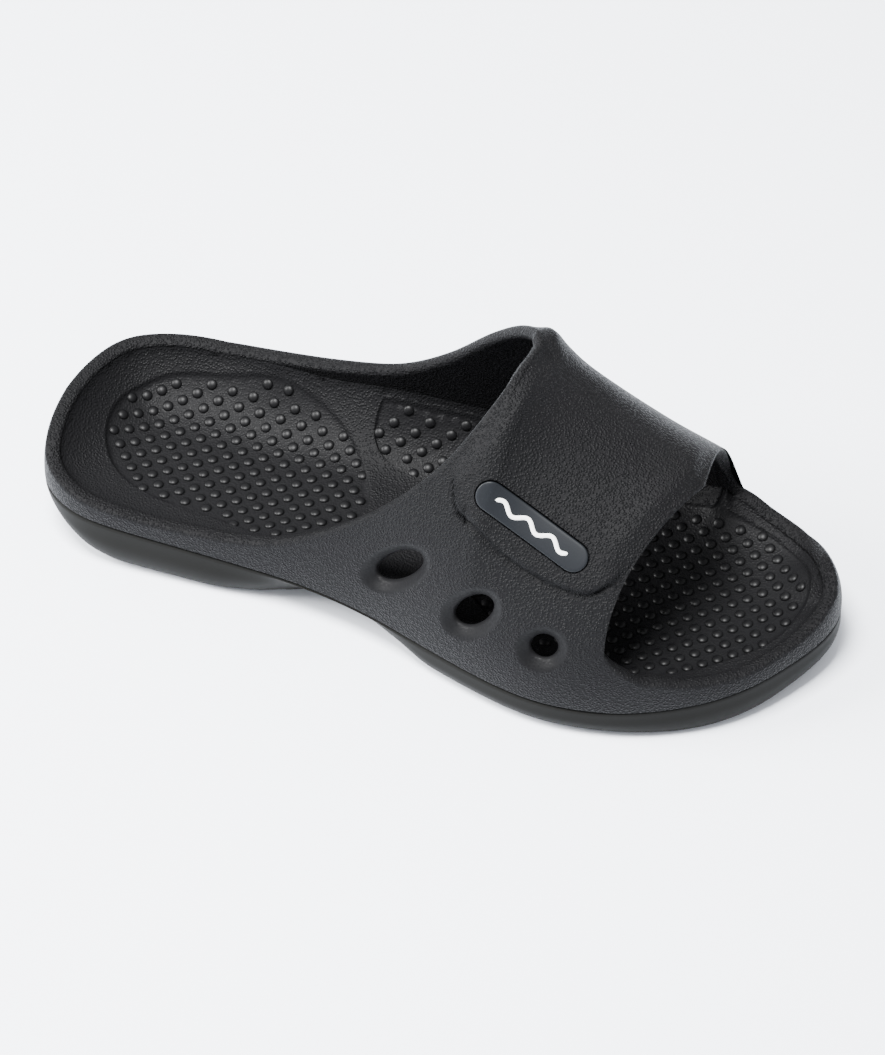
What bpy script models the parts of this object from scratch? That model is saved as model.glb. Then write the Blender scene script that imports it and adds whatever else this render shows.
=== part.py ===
# Pool slide for a right foot, moulded in EVA foam.
# Upper, footbed, outsole and badge plate. Metres, +Z up, toe at +X, medial side at +Y, floor at z = 0.

import math

import bpy
import numpy as np
from mathutils import Matrix, Vector
from mathutils.bvhtree import BVHTree
from mathutils.geometry import delaunay_2d_cdt

# Main sizes
LENGTH = 0.275
BALL_WIDTH = 0.107
SOLE_HEIGHT = 0.0205
INSTEP_HEIGHT = 0.0865
FIT_GAP = 0.0003

# Upper
STRAP_WALL = 0.0045
RIM_WALL = 0.0062
PANEL_STEP = 0.0012
PANEL_BLEND = 0.0016
PANEL_MARGIN = 0.0055

# Vent holes
COUNTERSINK_DEPTH = 0.0018
HOLE_REACH = 0.012

# Badge
BADGE_LENGTH = 0.0425
BADGE_WIDTH = 0.0098
BADGE_THICKNESS = 0.0018
BADGE_PROUD = 0.0004

# Footbed
BED_THICKNESS = 0.0055
ARCH_RISE = 0.0190
FIELD_DEPTH = 0.0010
FIELD_EDGE = 0.0006
FIELD_MARGIN = 0.0015

# Outsole
HEEL_BULGE = 0.0012
BOTTOM_TUCK = 0.0070
TOE_SPRING = 0.0085
ARCH_LIFT = 0.0045
EDGE_POWER = 0.9
CHANNEL_WIDTH = 0.0040
CHANNEL_DEPTH = 0.0020
CHANNEL_PITCH = 0.0120
CHANNEL_MARGIN = 0.0130

# How finely the forms are cut
REAR_COLUMNS = 26
BAND_COLUMNS = 11
FRONT_COLUMNS = 20
SIDE_ROWS = 5
TOP_ROWS = 6
SOLE_COLUMNS = 46
SOLE_ROWS = 5
OUTLINE_STEPS = 24
ARC_SAMPLES = 401
SPREAD_SAMPLES = 300
FIELD_STEPS = 2
EDGE_STEPS = 6
LIP_ANGLES = (45, 90, 135)
ELLIPSE_POINTS = 20
ROUND_END_POINTS = 7
CHANNEL_END_POINTS = 4
BADGE_SPANS = 6
BED_GRID = 0.0085
BED_GRID_MARGIN = 0.004
SOLE_GRID = 0.022
SOLE_GRID_MARGIN = 0.012
FLOOR_GRID = 0.018
FLOOR_GRID_MARGIN = 0.010
CLEAR_OF_WALL = 0.004


def smooth_curve(keys, values):
    """A monotone cubic through the rows of a table, flat beyond its ends."""
    step = np.diff(keys)
    rise = np.diff(values) / step
    slope = np.zeros(len(keys))
    slope[0] = rise[0]
    slope[-1] = rise[-1]
    for k in range(1, len(keys) - 1):
        if rise[k - 1] * rise[k] > 0:
            before = 2 * step[k] + step[k - 1]
            after = step[k] + 2 * step[k - 1]
            slope[k] = (before + after) / (before / rise[k - 1] + after / rise[k])

    def curve(query):
        query = np.clip(query, keys[0], keys[-1])
        k = np.clip(np.searchsorted(keys, query, side="right") - 1, 0, len(keys) - 2)
        s = (query - keys[k]) / step[k]
        start = (2 * s**3 - 3 * s**2 + 1) * values[k] + (s**3 - 2 * s**2 + s) * step[k] * slope[k]
        end = (3 * s**2 - 2 * s**3) * values[k + 1] + (s**3 - s**2) * step[k] * slope[k + 1]
        return start + end

    return curve


def table(columns, *rows):
    """Named columns, each a smooth curve over the first one."""
    data = np.array(rows, float)
    return {name: smooth_curve(data[:, 0], data[:, k]) for k, name in enumerate(columns.split()) if k}


# Outline at the parting line: x as a share of LENGTH from the heel, y as a share of BALL_WIDTH
LATERAL_OUTLINE = [
    (0.000, -0.020), (0.010, -0.215), (0.043, -0.325), (0.088, -0.368), (0.150, -0.367), (0.220, -0.351),
    (0.290, -0.335), (0.370, -0.324), (0.455, -0.340), (0.527, -0.378), (0.620, -0.433), (0.700, -0.457),
    (0.780, -0.425), (0.850, -0.350), (0.910, -0.245), (0.969, -0.052), (1.000, 0.180),
]
MEDIAL_OUTLINE = [
    (0.972, 0.345), (0.930, 0.430), (0.870, 0.490), (0.800, 0.530), (0.730, 0.545), (0.650, 0.535),
    (0.560, 0.490), (0.470, 0.432), (0.380, 0.398), (0.290, 0.390), (0.200, 0.385), (0.140, 0.375),
    (0.090, 0.345), (0.044, 0.285), (0.012, 0.165),
]

# Sole along the foot: parting height as a share of SOLE_HEIGHT, lifts of the bottom, then the side:
# how far it tucks in, how much it bulges, and whether it is round (0) or a straight chamfer (1)
SOLE = table(
    "x parting spring arch tuck bulge chamfer",
    (0.00, 1.07, 1.90, 0.00, 1.15, 0.0, 0.0),
    (0.03, 1.055, 1.34, 0.00, 1.20, 0.2, 0.0),
    (0.06, 1.03, 0.78, 0.00, 1.10, 0.5, 0.0),
    (0.10, 1.00, 0.22, 0.00, 0.95, 0.8, 0.0),
    (0.14, 0.96, 0.00, 0.00, 0.90, 1.0, 0.0),
    (0.25, 0.85, 0.00, 0.00, 0.70, 0.9, 0.0),
    (0.31, 0.79, 0.00, 0.04, 1.05, 0.5, 0.2),
    (0.345, 0.76, 0.00, 0.24, 1.22, 0.1, 0.7),
    (0.38, 0.73, 0.00, 0.70, 1.50, 0.0, 1.0),
    (0.44, 0.68, 0.00, 1.06, 1.50, 0.0, 0.9),
    (0.50, 0.64, 0.00, 0.60, 1.15, 0.2, 0.4),
    (0.56, 0.61, 0.00, 0.00, 0.95, 0.5, 0.0),
    (0.75, 0.585, 0.00, 0.00, 0.85, 0.6, 0.0),
    (0.86, 0.66, 0.00, 0.00, 0.50, 0.6, 0.0),
    (0.94, 0.77, 0.22, 0.00, 0.35, 0.5, 0.0),
    (1.00, 0.85, 0.75, 0.00, 0.30, 0.4, 0.0),
)

# Instep ridge: height above the parting line as a share of INSTEP_HEIGHT, by x
RIDGE_HEIGHT = table(
    "x height",
    (0.160, 0.620), (0.380, 0.840), (0.525, 1.040), (0.570, 1.052), (0.594, 1.052), (0.606, 1.034),
    (0.616, 0.992), (0.640, 0.917),
    (0.670, 0.856), (0.740, 0.755), (0.835, 0.655), (0.875, 0.505), (0.930, 0.350),
)

# Where each section leaves the outline and where it meets the ridge
SECTIONS = table(
    "arc medial_arc ridge_x ridge_y lateral_power medial_power",
    (0.000, 0.000, 0.160, 0.000, 2.3, 2.3),
    (0.300, 0.300, 0.380, 0.100, 2.1, 2.1),
    (0.450, 0.455, 0.525, 0.180, 2.0, 2.0),
    (0.555, 0.565, 0.608, 0.200, 2.0, 2.0),
    (0.600, 0.630, 0.670, 0.185, 2.0, 2.0),
    (0.650, 0.710, 0.740, 0.145, 2.0, 2.0),
    (0.700, 0.780, 0.820, 0.100, 2.0, 2.0),
    (0.800, 0.875, 0.870, 0.100, 2.0, 2.0),
    (0.900, 0.940, 0.900, 0.120, 2.0, 2.0),
    (1.000, 1.000, 0.930, 0.160, 2.0, 2.0),
)
BAND_START = 0.555
BAND_END = 0.700

# Edges of the upper: height above the parting line as a share of the ridge there
COLLAR_EDGE = table(
    "arc lateral medial",
    (0.000, 0.305, 0.305), (0.050, 0.250, 0.332), (0.100, 0.165, 0.350), (0.150, 0.122, 0.366),
    (0.220, 0.110, 0.388), (0.300, 0.135, 0.438), (0.350, 0.190, 0.478), (0.405, 0.335, 0.527),
    (0.463, 0.515, 0.638), (0.507, 0.690, 0.795), (0.530, 0.815, 0.890), (0.545, 0.918, 0.955),
    (0.5525, 0.980, 0.989), (0.555, 1.000, 1.000),
)
TOE_EDGE = table(
    "arc lateral medial",
    (0.700, 1.000, 1.000), (0.702, 0.730, 0.620), (0.7055, 0.500, 0.360), (0.720, 0.340, 0.245),
    (0.738, 0.260, 0.250), (0.765, 0.190, 0.260), (0.850, 0.170, 0.365), (0.920, 0.190, 0.490),
    (1.000, 0.350, 0.350),
)
WALL_SHARE = table(
    "arc rim",
    (0.00, 1.0), (0.33, 1.0), (0.46, 0.0), (0.71, 0.0), (0.76, 1.0), (1.00, 1.0),
)

# Raised panel over the strap: its lower edge as a share of the way up the section
PANEL = table(
    "arc low",
    (0.500, 0.62), (0.527, 0.52), (0.545, 0.44), (0.575, 0.42), (0.640, 0.43), (0.675, 0.45), (0.690, 0.50),
)
PANEL_REAR = 0.520
PANEL_FRONT = 0.6915
FOLD_REACH = 0.6
BLEND_REACH = 0.2

# Vent holes from the rear: place on the skin, hole and countersink half sizes along and across, lean
VENT_HOLES = [
    dict(arc=0.488, up=0.195, along=0.0112, across=0.0045, rim_along=0.0162, rim_across=0.0077, lean=44),
    dict(arc=0.579, up=0.185, along=0.0089, across=0.0047, rim_along=0.0135, rim_across=0.0080, lean=50),
    dict(arc=0.657, up=0.208, along=0.0049, across=0.0042, rim_along=0.0092, rim_across=0.0076, lean=50),
]
BADGE_ARC = 0.6135
BADGE_UP = 0.540
BADGE_LEAN = -20
PATCH_ARC = 0.12
PATCH_UP = 0.25
PATCH_POINTS = 25

# Footbed along the foot: bed height over the parting line, rises of its edges, width of the fillets
BED = table(
    "x floor lateral medial",
    (0.00, 0.60, 0.55, 0.55),
    (0.08, 0.60, 0.30, 0.62),
    (0.16, 0.75, 0.24, 0.62),
    (0.28, 1.20, 0.24, 0.72),
    (0.40, 1.95, 0.40, 1.00),
    (0.50, 1.90, 0.45, 0.95),
    (0.62, 1.25, 0.35, 0.55),
    (0.74, 1.00, 0.16, 0.36),
    (0.84, 0.90, 0.12, 0.40),
    (0.92, 0.80, 0.12, 0.40),
    (1.00, 0.60, 0.20, 0.20),
)
BED_FILLET = 0.028
FILLET_POWER = 2.4
EDGE_WEIGHT_POWER = 4
LAYER_SHARES = (0.6, 0.25)

# Sunk fields of the footbed: x as a share of LENGTH, y as a share of BALL_WIDTH
FIELDS = {
    "heel": [
        (0.058, -0.010), (0.062, 0.110), (0.100, 0.225), (0.160, 0.275), (0.240, 0.300), (0.300, 0.280),
        (0.350, 0.220), (0.392, 0.110), (0.412, 0.000), (0.400, -0.110), (0.372, -0.205), (0.345, -0.262),
        (0.300, -0.255), (0.240, -0.235), (0.160, -0.225), (0.100, -0.170),
    ],
    "arch": [
        (0.378, 0.250), (0.380, 0.305), (0.402, 0.335), (0.440, 0.345), (0.500, 0.352), (0.560, 0.360),
        (0.580, 0.320), (0.540, 0.240), (0.480, 0.180), (0.420, 0.170), (0.392, 0.200),
    ],
    "forefoot": [
        (0.560, -0.110), (0.600, -0.235), (0.680, -0.300), (0.770, -0.292), (0.840, -0.255), (0.900, -0.130),
        (0.940, -0.020), (0.958, 0.110), (0.958, 0.215), (0.930, 0.320), (0.880, 0.395), (0.800, 0.430),
        (0.710, 0.400), (0.640, 0.310), (0.590, 0.180), (0.562, 0.030),
    ],
}

HEEL_CHANNELS = (0.1436, 0.31)
FOREFOOT_CHANNELS = (0.58, 0.86)


def closed_spline(points, steps):
    """A closed cubic spline through the points, with even steps on each span."""
    knots = np.array(points, float)
    count = len(knots)
    chord = np.hypot(*(np.roll(knots, -1, 0) - knots).T)
    system = np.zeros((count, count))
    right = np.zeros((count, 2))
    for k in range(count):
        after = (k + 1) % count
        system[k, k - 1] = chord[k - 1]
        system[k, k] = 2 * (chord[k - 1] + chord[k])
        system[k, after] = chord[k]
        slope_after = (knots[after] - knots[k]) / chord[k]
        slope_before = (knots[k] - knots[k - 1]) / chord[k - 1]
        right[k] = 6 * (slope_after - slope_before)
    bend = np.linalg.solve(system, right)
    curve = []
    for k in range(count):
        after = (k + 1) % count
        span = chord[k]
        for u in np.arange(steps) / steps * span:
            ends = (bend[k] * (span - u) ** 3 + bend[after] * u**3) / (6 * span)
            line = (knots[k] / span - bend[k] * span / 6) * (span - u)
            line += (knots[after] / span - bend[after] * span / 6) * u
            curve.append(ends + line)
    return np.array(curve)


def even_arc(points, count):
    """Points at even lengths along a polyline."""
    travelled = np.concatenate([[0.0], np.cumsum(np.hypot(*np.diff(points, axis=0).T))])
    marks = np.linspace(0.0, travelled[-1], count)
    return np.stack([np.interp(marks, travelled, points[:, axis]) for axis in (0, 1)], axis=1)


def plan(shares):
    """Plan points in metres from shares, with the middle of the length at x = 0."""
    return [((x - 0.5) * LENGTH, y * BALL_WIDTH - PLAN_SHIFT) for x, y in shares]


def middle_of(outline):
    ys = closed_spline(outline, OUTLINE_STEPS)[:, 1]
    return (ys.max() + ys.min()) / 2 * BALL_WIDTH


PLAN_SHIFT = middle_of(LATERAL_OUTLINE + MEDIAL_OUTLINE)
OUTLINE = closed_spline(plan(LATERAL_OUTLINE + MEDIAL_OUTLINE), OUTLINE_STEPS)
TOE_INDEX = (len(LATERAL_OUTLINE) - 1) * OUTLINE_STEPS
SIDES = {
    "lateral": even_arc(OUTLINE[: TOE_INDEX + 1], ARC_SAMPLES),
    "medial": even_arc(np.concatenate([OUTLINE[:1], OUTLINE[TOE_INDEX:][::-1]]), ARC_SAMPLES),
}


def share_of_length(x):
    return np.asarray(x) / LENGTH + 0.5


def parting_height(x):
    """Height of the seam between the outsole and all that stands on it."""
    return SOLE["parting"](share_of_length(x)) * SOLE_HEIGHT


def outline_point(arc, side):
    own_arc = arc if side == "lateral" else SECTIONS["medial_arc"](arc)
    marks = np.linspace(0.0, 1.0, ARC_SAMPLES)
    return np.interp(own_arc, marks, SIDES[side][:, 0]), np.interp(own_arc, marks, SIDES[side][:, 1])


def skin(arc, up, side):
    """Outer skin: up runs from 0 at the outline to 1 at the instep ridge."""
    x0, y0 = outline_point(arc, side)
    z0 = parting_height(x0) + FIT_GAP / 2
    power = SECTIONS[side + "_power"](arc)
    angle = np.clip(up, 0.0, 1.0) * math.pi / 2
    inward = 1 - np.maximum(np.cos(angle), 0.0) ** (2 / power)
    rise = np.sin(angle) ** (2 / power)
    x = x0 + ((SECTIONS["ridge_x"](arc) - 0.5) * LENGTH - x0) * inward
    y = y0 + (SECTIONS["ridge_y"](arc) * BALL_WIDTH - PLAN_SHIFT - y0) * inward
    ridge = RIDGE_HEIGHT["height"](share_of_length(x)) * INSTEP_HEIGHT
    return np.stack(np.broadcast_arrays(x, y, z0 + ridge * rise), axis=-1)


def skin_normal(arc, up, side):
    """Unit vector out of the skin."""
    step = 1e-3
    low = np.clip(up, step, 1 - step)
    start = np.clip(arc, step, 1 - step)
    along = skin(start + step, low, side) - skin(start - step, low, side)
    rising = skin(start, low + step, side) - skin(start, low - step, side)
    normal = np.cross(along, rising)
    if side == "medial":
        normal = -normal
    return normal / np.linalg.norm(normal, axis=-1, keepdims=True)


def edge_share(arc, side):
    """How far up its section the skin reaches."""
    if BAND_START <= arc <= BAND_END:
        return 1.0
    edge = COLLAR_EDGE if arc < BAND_START else TOE_EDGE
    rise = min(float(edge[side](arc)), 1.0)
    return math.asin(rise ** (SECTIONS[side + "_power"](arc) / 2)) / (math.pi / 2)


def wall_at(arc):
    rim = WALL_SHARE["rim"](arc)
    return STRAP_WALL + (RIM_WALL - STRAP_WALL) * rim


def spread(start, end, count, reaches=(0.0, 1.0)):
    """Arc shares whose sections are evenly spaced at the outline, at the skin's edge or at both."""
    dense = np.linspace(start, end, SPREAD_SAMPLES)
    travelled = np.zeros(len(dense))
    for side in ("lateral", "medial"):
        for reach in reaches:
            path = np.array([skin(arc, edge_share(arc, side) * reach, side) for arc in dense])
            travelled[1:] += np.cumsum(np.linalg.norm(np.diff(path, axis=0), axis=1))
    return np.interp(np.linspace(0, travelled[-1], count + 1), travelled, dense)


def column_arcs():
    rear = spread(0.0, BAND_START, REAR_COLUMNS)
    band = spread(BAND_START, BAND_END, BAND_COLUMNS)
    front = spread(BAND_END, 1.0, FRONT_COLUMNS)
    band[np.argmin(np.abs(band - PANEL_FRONT))] = PANEL_FRONT
    return np.concatenate([rear, band[1:], front[1:]])


def foot_arcs():
    """Arc shares of the same sections at the outline, spaced evenly from the collar's peak to the toe."""
    rear = spread(0.0, BAND_START, REAR_COLUMNS)
    ahead = spread(BAND_START, 1.0, BAND_COLUMNS + FRONT_COLUMNS, (0.0,))
    return np.concatenate([rear, ahead[1:]])


def row_shares(arc, side):
    """Rows up one section, with two of them along the lower edge of the raised panel."""
    top = edge_share(arc, side)
    half_blend = PANEL_BLEND / INSTEP_HEIGHT / 2
    fold = min(float(PANEL["low"](arc)), FOLD_REACH * top)
    half_blend = min(half_blend, BLEND_REACH * fold)
    lower = np.linspace(0.0, fold - half_blend, SIDE_ROWS + 1)
    upper = np.linspace(fold + half_blend, top, TOP_ROWS + 1)
    return np.concatenate([lower, upper])


def panel_lift(arc, row, side):
    """Height of the raised panel over the skin at a row of a section."""
    if row <= SIDE_ROWS or arc >= PANEL_FRONT or arc < PANEL_REAR:
        return 0.0
    room = np.linalg.norm(skin(arc, edge_share(arc, side), side) - skin(arc, PANEL["low"](arc), side))
    if arc < BAND_START and row >= SIDE_ROWS + TOP_ROWS:
        return 0.0
    return PANEL_STEP * min(1.0, room / PANEL_MARGIN)


class Shell:
    """Points of the upper by section, side and row, and the faces between them."""

    def __init__(self):
        self.points = []
        self.index = {}
        self.faces = []

    def add(self, key, point):
        if key not in self.index:
            self.index[key] = len(self.points)
            self.points.append(tuple(point))
        return self.index[key]

    def quad(self, *keys):
        corners = []
        for key in keys:
            if self.index[key] not in corners:
                corners.append(self.index[key])
        if len(corners) > 2:
            self.faces.append(corners)


def build_mesh(name, points, faces):
    mesh = bpy.data.meshes.new(name)
    mesh.from_pydata([tuple(point) for point in points], [], [tuple(face) for face in faces])
    mesh.update()
    return mesh


def add_object(name, mesh):
    item = bpy.data.objects.new(name, mesh)
    bpy.context.scene.collection.objects.link(item)
    return item


def material(name, colour, roughness):
    finish = bpy.data.materials.new(name)
    finish.use_nodes = True
    shader = finish.node_tree.nodes["Principled BSDF"]
    shader.inputs["Base Color"].default_value = (*colour, 1.0)
    shader.inputs["Roughness"].default_value = roughness
    shader.inputs["Metallic"].default_value = 0.0
    return finish


def edge_loop(arcs, zone):
    """Sections round the collar or the toe opening, as (section, side), in order."""
    rear_last = REAR_COLUMNS
    front_first = REAR_COLUMNS + BAND_COLUMNS
    last = len(arcs) - 1
    if zone == "collar":
        out = [(k, "lateral") for k in range(0, rear_last + 1)]
        back = [(k, "medial") for k in range(rear_last - 1, 0, -1)]
    else:
        out = [(k, "lateral") for k in range(front_first, last + 1)]
        back = [(k, "medial") for k in range(last - 1, front_first, -1)]
    return out + back


def inner_rows():
    """Rows that the inner wall keeps: every other one, with both ends."""
    last = SIDE_ROWS + TOP_ROWS + 1
    return [row for row in range(0, last, 2)] + [last]


def upper_points(arcs):
    """Outer and inner wall points of every section, which leans from its place at the outline."""
    last = SIDE_ROWS + TOP_ROWS + 1
    outer = {}
    inner = {}
    for k, (arc, foot_arc) in enumerate(zip(arcs, foot_arcs())):
        for side in ("lateral", "medial"):
            rows = row_shares(arc, side)
            leaning = foot_arc + (arc - foot_arc) * np.sqrt(rows / rows[-1])
            bare = skin(leaning, rows, side)
            normal = skin_normal(leaning, rows, side)
            wall = wall_at(arc)
            for row in range(last + 1):
                outer[k, side, row] = bare[row] + normal[row] * panel_lift(arc, row, side)
                inner[k, side, row] = bare[row] - normal[row] * wall
            foot = inner[k, side, 0]
            foot[2] = parting_height(foot[0]) + FIT_GAP / 2
    return outer, inner


def shared(k, side, row, count):
    """One key for points that both sides share: heel, toe and the ridge of the band."""
    top_row = SIDE_ROWS + TOP_ROWS + 1
    on_ridge = row == top_row and REAR_COLUMNS <= k <= REAR_COLUMNS + BAND_COLUMNS
    if k in (0, count - 1) or on_ridge:
        side = "lateral"
    return (k, side, row)


def add_wall(shell, label, points, rows, count, outward):
    """Skin faces of one wall over all sections on both sides."""
    for k in range(count):
        for side in ("lateral", "medial"):
            for row in rows:
                key = shared(k, side, row, count)
                shell.add((label, *key), points[key])
    for side in ("lateral", "medial"):
        flip = (side == "lateral") == outward
        for k in range(count - 1):
            for low, high in zip(rows[:-1], rows[1:]):
                keys = [(k, low), (k + 1, low), (k + 1, high), (k, high)]
                if not flip:
                    keys.reverse()
                shell.quad(*[(label, *shared(c, side, r, count)) for c, r in keys])


def add_lip(shell, loop, zone, count, outer, inner):
    """A half-round lip from the outer wall to the inner one along an opening."""
    top = SIDE_ROWS + TOP_ROWS + 1
    keys = [shared(k, side, top, count) for k, side in loop]
    out = np.array([outer[key] for key in keys])
    ins = np.array([inner[key] for key in keys])
    middle = (out + ins) / 2
    radius = np.linalg.norm(out - ins, axis=1, keepdims=True) / 2
    across = (out - ins) / (2 * radius)
    tangent = np.roll(middle, -1, 0) - np.roll(middle, 1, 0)
    beyond = np.cross(across, tangent)
    beyond /= np.linalg.norm(beyond, axis=1, keepdims=True)
    rings = [[("outer", *key) for key in keys]]
    for ring, angle in enumerate(LIP_ANGLES):
        turn = math.radians(angle)
        points = middle + radius * (across * math.cos(turn) + beyond * math.sin(turn))
        rings.append([(zone, ring, spot) for spot in range(len(keys))])
        for spot, point in enumerate(points):
            shell.add(rings[-1][spot], point)
    rings.append([("inner", *key) for key in keys])
    for first, second in zip(rings[:-1], rings[1:]):
        for spot in range(len(keys)):
            after = (spot + 1) % len(keys)
            shell.quad(first[spot], first[after], second[after], second[spot])


def add_foot(shell, count):
    """The flat foot of the wall on the outsole, between its outer and inner faces."""
    ring = [(k, "lateral", 0) for k in range(count)]
    ring += [shared(k, "medial", 0, count) for k in range(count - 2, 0, -1)]
    for spot, key in enumerate(ring):
        after = ring[(spot + 1) % len(ring)]
        shell.quad(("outer", *after), ("outer", *key), ("inner", *key), ("inner", *after))


def make_upper(arcs, outer, inner):
    shell = Shell()
    count = len(arcs)
    all_rows = list(range(SIDE_ROWS + TOP_ROWS + 2))
    add_wall(shell, "outer", outer, all_rows, count, True)
    add_wall(shell, "inner", inner, inner_rows(), count, False)
    for zone in ("collar", "toe"):
        add_lip(shell, edge_loop(arcs, zone), zone, count, outer, inner)
    add_foot(shell, count)
    return add_object("upper", build_mesh("upper", shell.points, shell.faces))


def skin_frame(arc, up, lean):
    """A frame on the lateral skin: x along the foot and leaning, y up the wall, z outwards."""
    origin = Vector(skin(arc, up, "lateral"))
    outward = Vector(skin_normal(arc, up, "lateral"))
    along = Vector((1.0, 0.0, 0.0))
    along = (along - outward * along.dot(outward)).normalized()
    rising = outward.cross(along)
    turn = math.radians(lean)
    first = along * math.cos(turn) + rising * math.sin(turn)
    second = outward.cross(first)
    frame = Matrix((first, second, outward)).transposed().to_4x4()
    frame.translation = origin
    return frame


def loft(name, rings, frame):
    """A closed solid through rings of equal count, capped at both ends."""
    size = len(rings[0])
    points = [frame @ Vector(point) for ring in rings for point in ring]
    faces = []
    for level in range(len(rings) - 1):
        for k in range(size):
            after = (k + 1) % size
            low = level * size
            faces.append((low + k, low + after, low + size + after, low + size + k))
    faces.append(tuple(range(size))[::-1])
    faces.append(tuple(range(size * (len(rings) - 1), size * len(rings))))
    return add_object(name, build_mesh(name, points, faces))


def ellipse(along, across, height):
    turns = [2 * math.pi * k / ELLIPSE_POINTS for k in range(ELLIPSE_POINTS)]
    return [(along * math.cos(turn), across * math.sin(turn), height) for turn in turns]


def stadium(length, width, height, count=ROUND_END_POINTS, straights=1):
    """Outline of a bar with round ends and its straight sides in equal steps."""
    radius = width / 2
    straight = length / 2 - radius
    points = []
    for side, start in ((1, -90), (-1, 90)):
        for k in range(count):
            turn = math.radians(start + 180 * k / (count - 1))
            points.append((side * straight + radius * math.cos(turn), radius * math.sin(turn), height))
        for k in range(1, straights):
            points.append((side * straight * (1 - 2 * k / straights), side * radius, height))
    return points


def cut(item, cutter):
    cutter.hide_render = True
    cutter.display_type = "WIRE"
    boolean = item.modifiers.new(cutter.name, "BOOLEAN")
    boolean.operation = "DIFFERENCE"
    boolean.solver = "EXACT"
    boolean.object = cutter


def cut_vent_holes(upper):
    for number, hole in enumerate(VENT_HOLES, 1):
        frame = skin_frame(hole["arc"], hole["up"], hole["lean"])
        flare = STRAP_WALL
        wide = 1 + flare / COUNTERSINK_DEPTH
        grow_along = hole["rim_along"] - hole["along"]
        grow_across = hole["rim_across"] - hole["across"]
        rings = [
            ellipse(hole["along"], hole["across"], -HOLE_REACH),
            ellipse(hole["along"], hole["across"], -COUNTERSINK_DEPTH),
            ellipse(hole["along"] + grow_along * wide, hole["across"] + grow_across * wide, flare),
        ]
        cut(upper, loft("vent_cutter_%d" % number, rings, frame))


def panel_surface():
    """The face of the raised panel on the lateral side, to lay the badge on."""
    arcs = np.linspace(BADGE_ARC - PATCH_ARC, BADGE_ARC + PATCH_ARC, PATCH_POINTS)
    ups = np.linspace(BADGE_UP - PATCH_UP, BADGE_UP + PATCH_UP, PATCH_POINTS)
    points = []
    for arc in arcs:
        face = skin(arc, ups, "lateral") + skin_normal(arc, ups, "lateral") * PANEL_STEP
        points += [Vector(point) for point in face]
    quads = []
    size = len(ups)
    for k in range(len(arcs) - 1):
        for row in range(size - 1):
            low = k * size + row
            quads.append((low, low + size, low + size + 1, low + 1))
    return BVHTree.FromPolygons(points, quads)


def over_skin(points, frame, surface, height):
    """Points of a flat outline laid on the face of the panel, at a height over it."""
    laid = []
    outward = frame.to_3x3() @ Vector((0.0, 0.0, 1.0))
    for x, y in points:
        start = frame @ Vector((x, y, HOLE_REACH))
        spot = surface.ray_cast(start, -outward)[0]
        laid.append(spot + outward * height)
    return laid


def plate(name, length, width, surface, frame, low, high):
    """A stadium plate that follows the wall, between two heights over it."""
    edge = [(x, y) for x, y, _ in stadium(length, width, 0.0, straights=BADGE_SPANS)]
    reach = (length - width) / 2
    middle = [(x, 0.0) for x in np.linspace(-reach, reach, BADGE_SPANS + 1)]
    flat = [Vector(point) for point in edge + middle]
    ring = list(range(len(edge)))
    corners, _, tris = delaunay_2d_cdt(flat, [], [ring], 1, 1e-7)[:3]
    count = len(corners)
    bottom = over_skin(corners, frame, surface, low)
    top = over_skin(corners, frame, surface, high)
    faces = [tuple(count + k for k in tri) for tri in tris]
    faces += [tuple(reversed(tri)) for tri in tris]
    for k in ring:
        after = (k + 1) % len(ring)
        faces.append((k, after, count + after, count + k))
    return add_object(name, build_mesh(name, bottom + top, faces))


def inside(point, polygon):
    """Whether a plan point lies within a closed polygon."""
    x, y = point
    ahead = np.roll(polygon, -1, 0)
    crosses = (polygon[:, 1] > y) != (ahead[:, 1] > y)
    rise = np.where(crosses, ahead[:, 1] - polygon[:, 1], 1.0)
    at_x = polygon[:, 0] + (y - polygon[:, 1]) * (ahead[:, 0] - polygon[:, 0]) / rise
    return bool(np.count_nonzero(crosses & (x < at_x)) % 2)


def inset(polygon, distance):
    """An anticlockwise plan outline moved inwards, by one distance or by one for each point."""
    tangent = np.roll(polygon, -1, 0) - np.roll(polygon, 1, 0)
    tangent /= np.hypot(*tangent.T)[:, None]
    return polygon + np.stack([-tangent[:, 1], tangent[:, 0]], axis=1) * np.reshape(distance, (-1, 1))


def inner_wall_ring(arcs, inner, height_of):
    """Points of the inner wall all round, at the height that height_of gives, kept a gap away."""
    ring = []
    count = len(arcs)
    order = [(k, "lateral") for k in range(count)] + [(k, "medial") for k in range(count - 2, 0, -1)]
    for k, side in order:
        rows = [inner[shared(k, side, row, count)] for row in inner_rows()]
        column = np.array(rows)
        rising = np.argmax(column[:, 2]) + 1
        column = column[:rising]
        wanted = height_of(column[0][0], side, column[-1][2])
        ring.append([np.interp(wanted, column[:, 2], column[:, axis]) for axis in (0, 1)] + [wanted])
    ring = np.array(ring)
    ring[:, :2] = inset(ring[:, :2], FIT_GAP)
    return ring


def bed_edge_height(x, side, room):
    """Height of the footbed's edge against the wall, kept below the rim."""
    return min(bed_level(x) + BED[side](share_of_length(x)) * ARCH_RISE, room)


def fine_edge(edge):
    """The footbed's edge with extra points on each span."""
    after = np.roll(edge, -1, 0)
    return np.concatenate([edge + (after - edge) * k / EDGE_STEPS for k in range(EDGE_STEPS)])


def bed_level(x):
    """Height of the footbed's level floor along the foot."""
    return parting_height(x) + BED["floor"](share_of_length(x)) * BED_THICKNESS


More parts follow.
